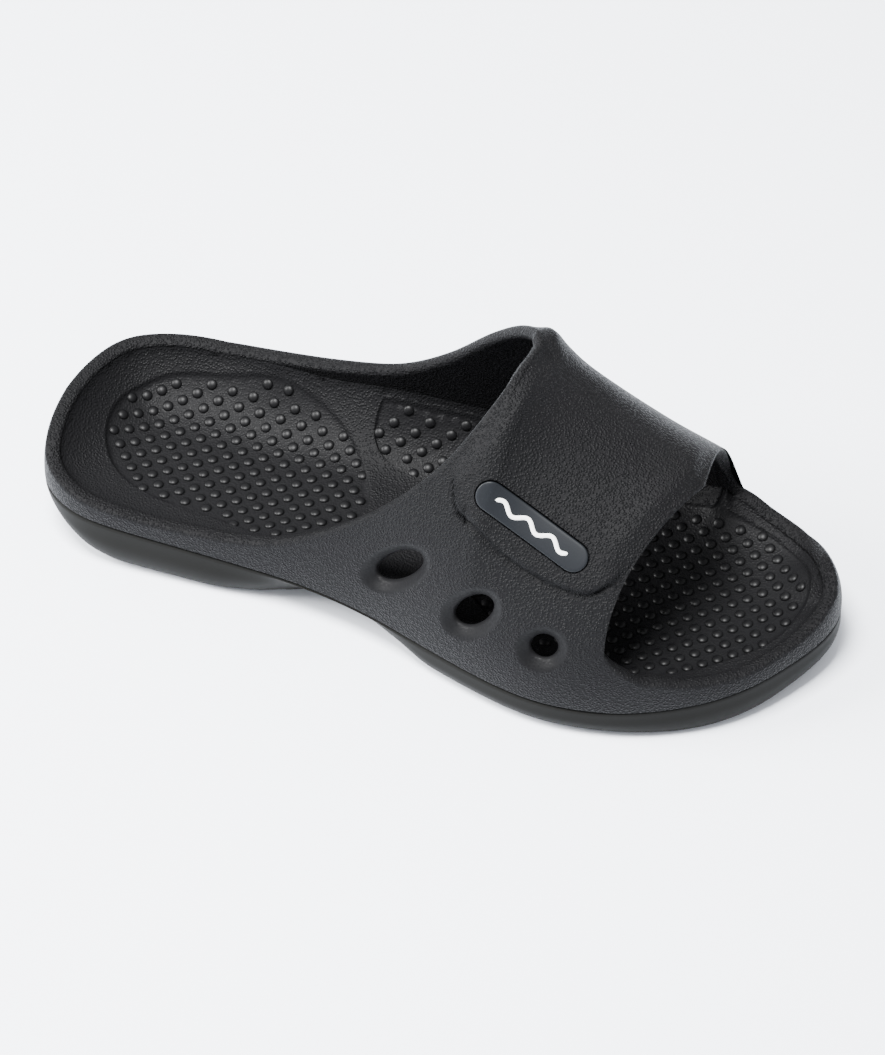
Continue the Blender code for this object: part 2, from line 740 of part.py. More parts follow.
def bed_height(point, edge):
    """Height of the footbed: a level floor with fillets that climb to its edge."""
    away = np.hypot(edge[:, 0] - point[0], edge[:, 1] - point[1])
    weight = 1 / np.maximum(away, FIT_GAP) ** EDGE_WEIGHT_POWER
    rise = np.sum(weight * (edge[:, 2] - bed_level(edge[:, 0]))) / np.sum(weight)
    climb = max(0.0, 1 - away.min() / BED_FILLET) ** FILLET_POWER
    return float(bed_level(point[0]) + rise * climb)


def grid_points(polygon, spacing, margin):
    """Plan points on a staggered grid, at least a margin inside a polygon."""
    points = []
    low = polygon.min(axis=0)
    high = polygon.max(axis=0)
    for row, y in enumerate(np.arange(low[1], high[1], spacing)):
        for x in np.arange(low[0] + spacing / 2 * (row % 2), high[0], spacing):
            near = np.min(np.hypot(polygon[:, 0] - x, polygon[:, 1] - y))
            if near > margin and inside((x, y), polygon):
                points.append((x, y))
    return points


def triangulate(rings, loose):
    """Plan triangles that keep every ring as edges, inside the first ring."""
    points = []
    edges = []
    for ring in rings:
        first = len(points)
        points += [Vector((x, y)) for x, y in ring]
        size = len(ring)
        edges += [(first + k, first + (k + 1) % size) for k in range(size)]
    points += [Vector(point) for point in loose]
    result = delaunay_2d_cdt(points, edges, [], 0, 1e-7)
    corners = np.array([tuple(point) for point in result[0]])
    tris = []
    for tri in result[2]:
        centre = corners[list(tri)].mean(axis=0)
        if inside(centre, np.array(rings[0])):
            tris.append(tuple(tri))
    return corners, tris


def stack(name, corners, tris, top, ring, layers):
    """A closed solid: a top over the plan, side rings below it and a floor under the last ring."""
    points = [(x, y, z) for (x, y), z in zip(corners, top)]
    faces = [tuple(tri) for tri in tris]
    above = list(range(ring))
    for layer in layers:
        below = list(range(len(points), len(points) + ring))
        points += [tuple(point) for point in layer]
        for k in range(ring):
            after = (k + 1) % ring
            faces.append((above[k], below[k], below[after], above[after]))
        above = below
    floor_ring = np.array([points[k][:2] for k in above])
    loose = grid_points(floor_ring, FLOOR_GRID, FLOOR_GRID_MARGIN)
    floor_corners, floor_tris = triangulate([floor_ring], loose)
    first = len(points)
    extra = range(ring, len(floor_corners))
    number = {k: above[k] for k in range(ring)}
    for k in extra:
        number[k] = first + k - ring
        points.append((*floor_corners[k], None))
    faces += [tuple(number[k] for k in reversed(tri)) for tri in floor_tris]
    return points, faces


def kept_inside(field, edge, margin):
    """A field outline held back by a margin from the edge of the footbed."""
    ahead = np.roll(edge, -1, 0) - np.roll(edge, 1, 0)
    inward = np.stack([-ahead[:, 1], ahead[:, 0]], axis=1) / np.hypot(*ahead.T)[:, None]
    held = []
    for point in field:
        nearest = int(np.argmin(np.hypot(*(edge - point).T)))
        depth = float(np.dot(point - edge[nearest], inward[nearest]))
        held.append(point + inward[nearest] * max(0.0, margin - depth))
    return np.array(held)


def part_way_up(share):
    """A height of the footbed's side wall, as a share of the way from its base to its edge."""
    def height(x, side, room):
        base = parting_height(x) + FIT_GAP / 2
        return base + (bed_edge_height(x, side, room) - base) * share
    return height


def make_footbed(arcs, inner):
    edge = inner_wall_ring(arcs, inner, bed_edge_height)
    layers = [inner_wall_ring(arcs, inner, part_way_up(share)) for share in (*LAYER_SHARES, 0.0)]
    rings = [edge[:, :2]]
    sunk = []
    for outline in FIELDS.values():
        field = closed_spline(plan(outline), FIELD_STEPS)
        if signed_area(field) < 0:
            field = field[::-1]
        field = kept_inside(field, edge[:, :2], FIELD_MARGIN)
        rings += [field, inset(field, FIELD_EDGE)]
        sunk.append(inset(field, FIELD_EDGE / 2))
    borders = np.concatenate(rings)
    loose = []
    for x, y in grid_points(edge[:, :2], BED_GRID, BED_GRID_MARGIN):
        if np.min(np.hypot(borders[:, 0] - x, borders[:, 1] - y)) > BED_GRID_MARGIN:
            loose.append((x, y))
    corners, tris = triangulate(rings, loose)
    dense_edge = fine_edge(edge)
    top = []
    for k, corner in enumerate(corners):
        if k < len(edge):
            top.append(edge[k, 2])
            continue
        depth = FIELD_DEPTH if any(inside(corner, field) for field in sunk) else 0.0
        top.append(bed_height(corner, dense_edge) - depth)
    points, faces = stack("footbed", corners, tris, top, len(edge), layers)
    points = [(x, y, parting_height(x) + FIT_GAP / 2 if z is None else z) for x, y, z in points]
    return add_object("footbed", build_mesh("footbed", points, faces))


def signed_area(polygon):
    ahead = np.roll(polygon, -1, 0)
    return 0.5 * float(np.sum(polygon[:, 0] * ahead[:, 1] - ahead[:, 0] * polygon[:, 1]))


def bottom_height(x):
    """Underside of the sole: level under heel and ball, lifted at the waist and the toe."""
    share = share_of_length(x)
    return SOLE["spring"](share) * TOE_SPRING + SOLE["arch"](share) * ARCH_LIFT


def make_outsole():
    lateral = even_arc(SIDES["lateral"], SOLE_COLUMNS + 1)
    medial = even_arc(SIDES["medial"], SOLE_COLUMNS + 1)
    ring = np.concatenate([lateral, medial[-2:0:-1]])
    shares = share_of_length(ring[:, 0])
    top = parting_height(ring[:, 0]) - FIT_GAP / 2
    layers = []
    for level in np.linspace(0, 1, SOLE_ROWS + 1)[1:]:
        turn = level * math.pi / 2
        bulge = HEEL_BULGE * SOLE["bulge"](shares) * math.sin(2 * turn)
        chamfer = SOLE["chamfer"](shares)
        rounded = 1 - math.cos(turn) ** EDGE_POWER
        tuck = BOTTOM_TUCK * SOLE["tuck"](shares) * (rounded + (level - rounded) * chamfer)
        outline = inset(ring, tuck - bulge)
        fall = math.sin(turn) ** EDGE_POWER
        drop = fall + (level - fall) * chamfer
        bottom = bottom_height(outline[:, 0])
        layers.append(np.column_stack([outline, top + (bottom - top) * drop]))
    loose = grid_points(ring, SOLE_GRID, SOLE_GRID_MARGIN)
    corners, tris = triangulate([ring], loose)
    heights = parting_height(corners[:, 0]) - FIT_GAP / 2
    points, faces = stack("outsole", corners, tris, heights, len(ring), layers)
    points = [(x, y, float(bottom_height(x)) if z is None else z) for x, y, z in points]
    return add_object("outsole", build_mesh("outsole", points, faces))


def width_at(x, side):
    """Half width of the outline on one side at a place along the foot."""
    path = SIDES[side]
    return float(np.interp(x, path[:, 0], path[:, 1]))


def cut_channels(outsole):
    """Transverse channels under heel and forefoot, kept inside the edge of the sole."""
    number = 0
    turned = Matrix.Rotation(math.pi / 2, 4, "Z")
    for start, end in (HEEL_CHANNELS, FOREFOOT_CHANNELS):
        first = (start - 0.5) * LENGTH
        steps = int((end - start) * LENGTH / CHANNEL_PITCH) + 1
        for k in range(steps):
            x = first + k * CHANNEL_PITCH
            number += 1
            right = width_at(x, "lateral") + CHANNEL_MARGIN
            left = width_at(x, "medial") - CHANNEL_MARGIN
            frame = Matrix.Translation((x, (right + left) / 2, float(bottom_height(x))))
            levels = (-SOLE_HEIGHT, CHANNEL_DEPTH)
            rings = [stadium(left - right, CHANNEL_WIDTH, z, CHANNEL_END_POINTS) for z in levels]
            cut(outsole, loft("channel_cutter_%d" % number, rings, frame @ turned))


def main():
    for item in list(bpy.data.objects):
        bpy.data.objects.remove(item, do_unlink=True)
    arcs = column_arcs()
    outer, inner = upper_points(arcs)
    upper = make_upper(arcs, outer, inner)
    surface = panel_surface()
    frame = skin_frame(BADGE_ARC, BADGE_UP, BADGE_LEAN)
    sink = BADGE_PROUD - BADGE_THICKNESS
    pocket_size = (BADGE_LENGTH + 2 * FIT_GAP, BADGE_WIDTH + 2 * FIT_GAP)
    pocket = plate("badge_pocket", *pocket_size, surface, frame, sink - FIT_GAP, CLEAR_OF_WALL)
    badge = plate("badge", BADGE_LENGTH, BADGE_WIDTH, surface, frame, sink, BADGE_PROUD)
    cut_vent_holes(upper)
    cut(upper, pocket)
    footbed = make_footbed(arcs, inner)
    outsole = make_outsole()
    cut_channels(outsole)

    black_foam = material("black_eva_grained", (0.012, 0.012, 0.014), 0.55)
    grey_foam = material("charcoal_eva_smooth", (0.036, 0.034, 0.032), 0.45)
    plate_rubber = material("slate_rubber_smooth", (0.026, 0.031, 0.038), 0.38)
    for item, finish in ((upper, black_foam), (footbed, black_foam), (outsole, grey_foam), (badge, plate_rubber)):
        item.data.materials.append(finish)
        item.data.shade_smooth()
        item.data.set_sharp_from_angle(angle=math.radians(40))


main()
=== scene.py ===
# Looks of a moulded EVA pool slide, right foot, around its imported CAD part.
# Metres, +Z up, toe at +X, medial side at +Y, floor at z = 0.

import math

import bmesh
import bpy
import numpy as np
from mathutils import Matrix, Vector
from mathutils.bvhtree import BVHTree
from mathutils.geometry import delaunay_2d_cdt


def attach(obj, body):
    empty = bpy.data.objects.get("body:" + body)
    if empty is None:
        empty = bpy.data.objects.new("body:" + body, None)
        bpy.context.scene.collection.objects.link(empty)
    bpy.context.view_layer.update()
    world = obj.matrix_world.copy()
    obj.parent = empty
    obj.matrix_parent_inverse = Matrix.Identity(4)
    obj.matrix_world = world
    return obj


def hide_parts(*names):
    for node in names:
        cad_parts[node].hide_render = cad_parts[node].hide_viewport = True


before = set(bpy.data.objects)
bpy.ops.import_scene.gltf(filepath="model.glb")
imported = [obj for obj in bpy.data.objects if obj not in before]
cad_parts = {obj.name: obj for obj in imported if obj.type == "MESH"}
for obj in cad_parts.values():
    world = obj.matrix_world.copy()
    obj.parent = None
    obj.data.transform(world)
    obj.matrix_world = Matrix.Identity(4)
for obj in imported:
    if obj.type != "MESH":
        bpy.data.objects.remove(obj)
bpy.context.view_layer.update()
print("frame loaded")

mm = 0.001
rayStart = 15 * mm  # over the skin, where rays down onto it start


# Small tools

def smoothCurve(keys, values):  # monotone cubic through a table's rows, flat beyond its ends
    step = np.diff(keys)
    rise = np.diff(values) / step
    slope = np.zeros(len(keys))
    slope[0] = rise[0]
    slope[-1] = rise[-1]
    for k in range(1, len(keys) - 1):
        if rise[k - 1] * rise[k] > 0:
            before = 2 * step[k] + step[k - 1]
            after = step[k] + 2 * step[k - 1]
            slope[k] = (before + after) / (before / rise[k - 1] + after / rise[k])

    def curve(query):
        query = np.clip(query, keys[0], keys[-1])
        k = np.clip(np.searchsorted(keys, query, side="right") - 1, 0, len(keys) - 2)
        s = (query - keys[k]) / step[k]
        start = (2 * s**3 - 3 * s**2 + 1) * values[k] + (s**3 - 2 * s**2 + s) * step[k] * slope[k]
        end = (3 * s**2 - 2 * s**3) * values[k + 1] + (s**3 - s**2) * step[k] * slope[k + 1]
        return start + end

    return curve


def table(columns, *rows):  # named columns, each a smooth curve over the first one
    data = np.array(rows, float)
    return {name: smoothCurve(data[:, 0], data[:, k]) for k, name in enumerate(columns.split()) if k}


def smoothStep(low, high, value):
    t = np.clip((value - low) / (high - low), 0.0, 1.0)
    return t * t * (3 - 2 * t)


def unit(vectors):
    return vectors / np.linalg.norm(vectors, axis=-1, keepdims=True)


def closedSpline(points, steps):  # cubic spline round the points, even steps on each span
    knots = np.array(points, float)
    count = len(knots)
    chord = np.hypot(*(np.roll(knots, -1, 0) - knots).T)
    system = np.zeros((count, count))
    right = np.zeros((count, 2))
    for k in range(count):
        after = (k + 1) % count
        system[k, k - 1] = chord[k - 1]
        system[k, k] = 2 * (chord[k - 1] + chord[k])
        system[k, after] = chord[k]
        slopeAfter = (knots[after] - knots[k]) / chord[k]
        slopeBefore = (knots[k] - knots[k - 1]) / chord[k - 1]
        right[k] = 6 * (slopeAfter - slopeBefore)
    bend = np.linalg.solve(system, right)
    curve = []
    for k in range(count):
        after = (k + 1) % count
        span = chord[k]
        for u in np.arange(steps) / steps * span:
            ends = (bend[k] * (span - u) ** 3 + bend[after] * u**3) / (6 * span)
            line = (knots[k] / span - bend[k] * span / 6) * (span - u)
            line += (knots[after] / span - bend[after] * span / 6) * u
            curve.append(ends + line)
    return np.array(curve)


def evenPath(points, count):  # points at even lengths along a polyline
    travelled = np.concatenate([[0.0], np.cumsum(np.linalg.norm(np.diff(points, axis=0), axis=1))])
    marks = np.linspace(0.0, travelled[-1], count)
    return np.stack([np.interp(marks, travelled, column) for column in points.T], axis=1)


def evenRing(points, spacing):  # a closed path in even steps
    closed = np.concatenate([points, points[:1]])
    length = np.linalg.norm(np.diff(closed, axis=0), axis=1).sum()
    return evenPath(closed, int(round(length / spacing)) + 1)[:-1]


def inwards(ring):  # unit plan normals of an anticlockwise ring, into it
    tangent = unit(np.roll(ring[:, :2], -1, 0) - np.roll(ring[:, :2], 1, 0))
    return np.stack([-tangent[:, 1], tangent[:, 0]], axis=1)


def inset(ring, distance):
    return ring[:, :2] + inwards(ring) * np.reshape(distance, (-1, 1))


def insideOf(points, ring):  # which plan points lie within a closed ring
    found = np.zeros(len(points), bool)
    ahead = np.roll(ring, -1, 0)
    for (x0, y0), (x1, y1) in zip(ring[:, :2], ahead[:, :2]):
        if y0 == y1:
            continue
        crosses = (y0 > points[:, 1]) != (y1 > points[:, 1])
        atX = x0 + (points[:, 1] - y0) * (x1 - x0) / (y1 - y0)
        found ^= crosses & (points[:, 0] < atX)
    return found


def nearestOn(points, ring):  # distance of plan points to a dense ring, and the nearest index
    away = np.empty(len(points))
    index = np.empty(len(points), int)
    for start in range(0, len(points), 2000):
        part = points[start : start + 2000]
        gaps = np.hypot(part[:, None, 0] - ring[None, :, 0], part[:, None, 1] - ring[None, :, 1])
        index[start : start + 2000] = gaps.argmin(axis=1)
        away[start : start + 2000] = gaps.min(axis=1)
    return away, index


def newObject(name, points, faces):
    mesh = bpy.data.meshes.new(name)
    mesh.from_pydata(np.asarray(points).tolist(), [], faces)
    mesh.update()
    item = bpy.data.objects.new(name, mesh)
    bpy.context.scene.collection.objects.link(item)
    return item


def setSmoothness(item, values):
    attribute = item.data.attributes.new("smoothness", "FLOAT", "POINT")
    attribute.data.foreach_set("value", np.asarray(values, np.float32))


def cleanMesh(item, merge=1e-6, angle=50):
    work = bmesh.new()
    work.from_mesh(item.data)
    bmesh.ops.remove_doubles(work, verts=work.verts, dist=merge)
    bmesh.ops.recalc_face_normals(work, faces=work.faces)
    work.to_mesh(item.data)
    work.free()
    smoothSurface(item, angle)


def gridFaces(columns, rows, first=0, flip=False):
    faces = []
    for k in range(columns - 1):
        for row in range(rows - 1):
            low = first + k * rows + row
            face = [low, low + rows, low + rows + 1, low + 1]
            faces.append(face[::-1] if flip else face)
    return faces


def ringFaces(count, rows, first):  # a closed grid of columns
    faces = []
    for k in range(count):
        low = first + k * rows
        after = first + (k + 1) % count * rows
        faces += [[low + row, after + row, after + row + 1, low + row + 1] for row in range(rows - 1)]
    return faces


def joined(first, second, flip=False):  # faces between two rings of point numbers
    faces = []
    for k in range(len(first)):
        after = (k + 1) % len(first)
        face = [first[k], second[k], second[after], first[after]]
        faces.append([first[k], *face[:0:-1]] if flip else face)
    return faces


def stacked(levels, count, flip=False):  # faces of rings stored one after the other
    rings = [range(level * count, (level + 1) * count) for level in range(levels)]
    return [face for pair in zip(rings, rings[1:]) for face in joined(*pair, flip)]


def triangulated(points, links, ring, merge):  # plan triangles inside a ring
    found = delaunay_2d_cdt([Vector(point) for point in points], links, [], 0, merge)
    corners = np.array([tuple(point) for point in found[0]])
    tris = np.array(found[2])
    return corners, tris[insideOf(corners[tris].mean(axis=1), ring)]


def ringLinks(first, count):
    return [(first + k, first + (k + 1) % count) for k in range(count)]


def smoothSurface(item, angle):
    item.data.shade_smooth()
    item.data.set_sharp_from_angle(angle=math.radians(angle))


def applied(item):  # bakes live modifiers into the mesh
    graph = bpy.context.evaluated_depsgraph_get()
    mesh = bpy.data.meshes.new_from_object(item.evaluated_get(graph))
    item.modifiers.clear()
    item.data = mesh
    return item


def cutAway(item, cutter):
    boolean = item.modifiers.new("cut", "BOOLEAN")
    boolean.operation = "DIFFERENCE"
    boolean.solver = "EXACT"
    boolean.object = cutter
    applied(item)
    bpy.data.objects.remove(cutter, do_unlink=True)


# The last: the form that every moulded piece follows

shoe = dict(
    length=275 * mm,
    ballWidth=107 * mm,
    soleHeight=20.5 * mm,
    instepHeight=86.5 * mm,
    gap=0.3 * mm,
    bandStart=0.555,  # the strap runs between these shares of the outline
    bandEnd=0.700,
    splineSteps=24,  # points on each span of the outline
    pathMarks=801,  # even points along each side
)
lateralOutline = [
    (0.000, -0.020), (0.010, -0.215), (0.043, -0.325), (0.088, -0.368), (0.150, -0.367), (0.220, -0.351),
    (0.290, -0.335), (0.370, -0.324), (0.455, -0.340), (0.527, -0.378), (0.620, -0.433), (0.700, -0.457),
    (0.780, -0.425), (0.850, -0.350), (0.910, -0.245), (0.969, -0.052), (1.000, 0.180),
]
medialOutline = [
    (0.972, 0.345), (0.930, 0.430), (0.870, 0.490), (0.800, 0.530), (0.730, 0.545), (0.650, 0.535),
    (0.560, 0.490), (0.470, 0.432), (0.380, 0.398), (0.290, 0.390), (0.200, 0.385), (0.140, 0.375),
    (0.090, 0.345), (0.044, 0.285), (0.012, 0.165),
]
sole = table(
    "x parting spring arch tuck bulge chamfer",
    (0.00, 1.07, 1.90, 0.00, 1.15, 0.0, 0.0),
    (0.03, 1.055, 1.34, 0.00, 1.20, 0.2, 0.0),
    (0.06, 1.03, 0.78, 0.00, 1.10, 0.5, 0.0),
    (0.10, 1.00, 0.22, 0.00, 0.95, 0.8, 0.0),
    (0.14, 0.96, 0.00, 0.00, 0.90, 1.0, 0.0),
    (0.25, 0.85, 0.00, 0.00, 0.70, 0.9, 0.0),
    (0.31, 0.79, 0.00, 0.04, 1.05, 0.5, 0.2),
    (0.345, 0.76, 0.00, 0.24, 1.22, 0.1, 0.7),
    (0.38, 0.73, 0.00, 0.70, 1.50, 0.0, 1.0),
    (0.44, 0.68, 0.00, 1.06, 1.50, 0.0, 0.9),
    (0.50, 0.64, 0.00, 0.60, 1.15, 0.2, 0.4),
    (0.56, 0.61, 0.00, 0.00, 0.95, 0.5, 0.0),
    (0.75, 0.585, 0.00, 0.00, 0.85, 0.6, 0.0),
    (0.86, 0.66, 0.00, 0.00, 0.50, 0.6, 0.0),
    (0.94, 0.77, 0.22, 0.00, 0.35, 0.5, 0.0),
    (1.00, 0.85, 0.75, 0.00, 0.30, 0.4, 0.0),
)
ridge = table(
    "x height",
    (0.160, 0.620), (0.380, 0.840), (0.525, 1.040), (0.570, 1.052), (0.594, 1.052), (0.606, 1.034),
    (0.616, 0.992), (0.640, 0.917), (0.670, 0.858), (0.740, 0.765), (0.838, 0.670), (0.875, 0.510),
    (0.930, 0.350),
)
sections = table(
    "arc medialArc ridgeX ridgeY lateralPower medialPower",
    (0.000, 0.000, 0.160, 0.000, 2.3, 2.3),
    (0.300, 0.300, 0.380, 0.100, 2.1, 2.1),
    (0.450, 0.455, 0.525, 0.180, 2.0, 2.0),
    (0.555, 0.565, 0.608, 0.200, 2.0, 2.0),
    (0.600, 0.630, 0.670, 0.185, 2.0, 2.0),
    (0.650, 0.710, 0.740, 0.145, 2.0, 2.0),
    (0.700, 0.780, 0.828, 0.100, 2.0, 2.0),
    (0.800, 0.875, 0.870, 0.100, 2.0, 2.0),
    (0.900, 0.940, 0.900, 0.120, 2.0, 2.0),
    (1.000, 1.000, 0.930, 0.160, 2.0, 2.0),
)


def shareOfLength(x):
    return np.asarray(x) / shoe["length"] + 0.5


def partingHeight(x):
    return sole["parting"](shareOfLength(x)) * shoe["soleHeight"]


outlineSpline = closedSpline(lateralOutline + medialOutline, shoe["splineSteps"])
planShift = (outlineSpline[:, 1].max() + outlineSpline[:, 1].min()) / 2 * shoe["ballWidth"]


def planPoints(shares):
    shares = np.asarray(shares, float)
    return np.stack(
        [(shares[:, 0] - 0.5) * shoe["length"], shares[:, 1] * shoe["ballWidth"] - planShift], axis=1
    )


outlinePath = planPoints(outlineSpline)
toeIndex = (len(lateralOutline) - 1) * shoe["splineSteps"]
sidePaths = {
    "lateral": evenPath(outlinePath[: toeIndex + 1], shoe["pathMarks"]),
    "medial": evenPath(np.concatenate([outlinePath[:1], outlinePath[toeIndex:][::-1]]), shoe["pathMarks"]),
}


def outlinePoint(arc, side):
    ownArc = arc if side == "lateral" else sections["medialArc"](arc)
    marks = np.linspace(0.0, 1.0, shoe["pathMarks"])
    path = sidePaths[side]
    return np.interp(ownArc, marks, path[:, 0]), np.interp(ownArc, marks, path[:, 1])


def skin(arc, up, side):  # outer skin: up runs from 0 at the outline to 1 at the instep ridge
    x0, y0 = outlinePoint(arc, side)
    z0 = partingHeight(x0) + shoe["gap"] / 2
    power = sections[side + "Power"](arc)
    angle = np.clip(up, 0.0, 1.0) * math.pi / 2
    inward = 1 - np.maximum(np.cos(angle), 0.0) ** (2 / power)
    rise = np.sin(angle) ** (2 / power)
    x = x0 + ((sections["ridgeX"](arc) - 0.5) * shoe["length"] - x0) * inward
    y = y0 + (sections["ridgeY"](arc) * shoe["ballWidth"] - planShift - y0) * inward
    height = ridge["height"](shareOfLength(x)) * shoe["instepHeight"]
    return np.stack(np.broadcast_arrays(x, y, z0 + height * rise), axis=-1)


def skinNormal(arc, up, side):
    step = 1e-3
    low = np.clip(up, step, 1 - step)
    start = np.clip(arc, step, 1 - step)
    along = skin(start + step, low, side) - skin(start - step, low, side)
    rising = skin(start, low + step, side) - skin(start, low - step, side)
    normal = np.cross(along, rising)
    return unit(-normal if side == "medial" else normal)


def skinFrame(arc, up, lean):  # x along the foot and leaning, y up the wall, z out of it
    origin = Vector(skin(arc, up, "lateral"))
    outward = Vector(skinNormal(arc, up, "lateral"))
    along = Vector((1.0, 0.0, 0.0))
    along = (along - outward * along.dot(outward)).normalized()
    rising = outward.cross(along)
    turn = math.radians(lean)
    first = along * math.cos(turn) + rising * math.sin(turn)
    second = outward.cross(first)
    placed = Matrix((first, second, outward)).transposed().to_4x4()
    placed.translation = origin
    return placed


# Upper

upperSettings = dict(
    strapWall=4.5 * mm,
    rimWall=5.4 * mm,
    columns=(150, 74, 110),  # behind, along and ahead of the strap
    rows=92,
    innerRows=34,
    lipSteps=12,
    footRound=0.8 * mm,
    panelStep=2.0 * mm,
    panelBlend=1.4 * mm,
    panelSoften=1.4,  # how much wider the border blends at its rear end
    panelRear=(0.545, 0.575),  # shares of the outline where that ends
    panelTop=(0.50, 0.60),  # shares up the section where the front border turns soft
    panelMedial=(0.55, 0.95),  # and where the panel fades in on the medial side
    panelEdges=(0.40, 0.76),  # shares of the outline that bound the open edges near the strap
    panelStart=1.0 * mm,
    undercut=3.2 * mm,
    panelInset=2.6 * mm,
    panelFade=9.0 * mm,
    panelCorner=5.0 * mm,
    grooveOut=1.5 * mm,
    grooveWidth=0.9 * mm,
    grooveDepth=0.6 * mm,
    lipSquare=0.65,
    lipFlat=0.72,
    arcSamples=600,
)
collarEdge = table(
    "arc lateral medial",
    (0.000, 0.305, 0.305), (0.050, 0.250, 0.332), (0.100, 0.165, 0.350), (0.150, 0.122, 0.366),
    (0.220, 0.110, 0.388), (0.300, 0.135, 0.438), (0.350, 0.190, 0.478), (0.405, 0.335, 0.527),
    (0.463, 0.515, 0.638), (0.507, 0.690, 0.795), (0.530, 0.815, 0.890), (0.545, 0.918, 0.955),
    (0.5525, 0.980, 0.989), (0.555, 1.000, 1.000),
)
toeEdge = table(
    "arc lateral medial",
    (0.700, 1.000, 1.000), (0.702, 0.730, 0.620), (0.7055, 0.500, 0.360), (0.720, 0.340, 0.245),
    (0.738, 0.260, 0.250), (0.765, 0.190, 0.260), (0.850, 0.170, 0.365), (0.920, 0.190, 0.490),
    (1.000, 0.350, 0.350),
)
wallShare = table(
    "arc rim",
    (0.00, 1.0), (0.33, 1.0), (0.46, 0.0), (0.71, 0.0), (0.76, 1.0), (1.00, 1.0),
)
lipShape = table(
    "arc square undercut",
    (0.00, 0.45, 0.0), (0.30, 0.45, 0.0), (0.45, 0.1, 0.0), (0.555, 0.3, 0.0), (0.64, 0.3, 0.0),
    (0.69, 1.0, 1.0), (0.703, 1.0, 1.0), (0.712, 0.8, 0.8), (0.74, 0.45, 0.0), (1.00, 0.45, 0.0),
)
panelLow = table(
    "arc low",
    (0.500, 0.62), (0.527, 0.52), (0.545, 0.44), (0.575, 0.42), (0.640, 0.43), (0.675, 0.45), (0.690, 0.50),
)
ventHoles = [  # from the rear: place on the skin, half sizes of hole and countersink, lean in degrees
    dict(arc=0.488, up=0.195, along=11.2, across=4.5, rimAlong=17.0, rimAcross=8.2, lean=44),
    dict(arc=0.579, up=0.185, along=8.9, across=4.7, rimAlong=14.2, rimAcross=8.8, lean=50),
    dict(arc=0.657, up=0.208, along=4.9, across=4.2, rimAlong=10.0, rimAcross=8.2, lean=50),
]
dish = dict(
    depth=3.0 * mm,
    fillet=0.8 * mm,
    ring=64,
    ease=0.25,  # share of the countersink's width that its rim eases in
    finish=0.12,  # share over which the grain fades
    reach=12 * mm,
    through=14 * mm,
    flare=5.0 * mm,
    lid=2.0 * mm,
)


def edgeShare(arc, side):  # how far up its section the skin reaches
    arc = np.asarray(arc, float)
    rise = np.where(arc < shoe["bandStart"], collarEdge[side](arc), toeEdge[side](arc))
    share = np.arcsin(np.clip(rise, 0, 1) ** (sections[side + "Power"](arc) / 2)) / (math.pi / 2)
    return np.where((arc >= shoe["bandStart"]) & (arc <= shoe["bandEnd"]), 1.0, share)


def spreadArcs(start, end, count, reaches=(0.0, 1.0)):
    dense = np.linspace(start, end, upperSettings["arcSamples"])
    travelled = np.zeros(len(dense))
    for side in ("lateral", "medial"):
        for reach in reaches:
            path = skin(dense, edgeShare(dense, side) * reach, side)
            travelled[1:] += np.cumsum(np.linalg.norm(np.diff(path, axis=0), axis=1))
    return np.interp(np.linspace(0, travelled[-1], count + 1), travelled, dense)


def panelLift(arc, up, side):  # height of the raised panel over the skin, with a groove along its border
    form = upperSettings
    step = 1e-3
    perUp = np.linalg.norm(skin(arc, up + step, side) - skin(arc, up - step, side), axis=-1) / (2 * step)
    perArc = np.linalg.norm(skin(arc + step, up, side) - skin(arc - step, up, side), axis=-1) / (2 * step)
    rearArcs = np.linspace(form["panelEdges"][0], shoe["bandStart"], 80)
    frontArcs = np.linspace(shoe["bandEnd"], form["panelEdges"][1], 80)
    rearEdge = np.interp(up, edgeShare(rearArcs, side), rearArcs)
    frontEdge = np.interp(up, edgeShare(frontArcs, side)[::-1], frontArcs[::-1])
    over = (up - panelLow["low"](arc)) * perUp
    behind = (arc - rearEdge) * perArc
    ahead = (frontEdge - arc) * perArc
    corner = form["panelCorner"]
    a = corner - np.minimum(over, corner)
    b = corner - np.minimum(ahead - form["panelInset"], corner)
    within = corner - np.hypot(a, b)  # rounded corner where the lower and front borders meet
    half = form["panelBlend"] / 2 * (1 + form["panelSoften"] * (1 - smoothStep(*form["panelRear"], arc)))
    crisp = smoothStep(-half, half, within)
    soft = smoothStep(-half, half, over) * smoothStep(0.0, form["panelFade"], ahead)
    topShare = smoothStep(*form["panelTop"], up)  # over the top of the strap the front border is soft
    rearShare = smoothStep(form["panelStart"], form["panelFade"], behind)
    share = (crisp + (soft - crisp) * topShare) * rearShare
    if side == "medial":
        return form["panelStep"] * share * smoothStep(*form["panelMedial"], up)
    groove = np.exp(-(((within + form["grooveOut"]) / form["grooveWidth"]) ** 2))
    return form["panelStep"] * share - form["grooveDepth"] * groove * (1 - topShare) * rearShare


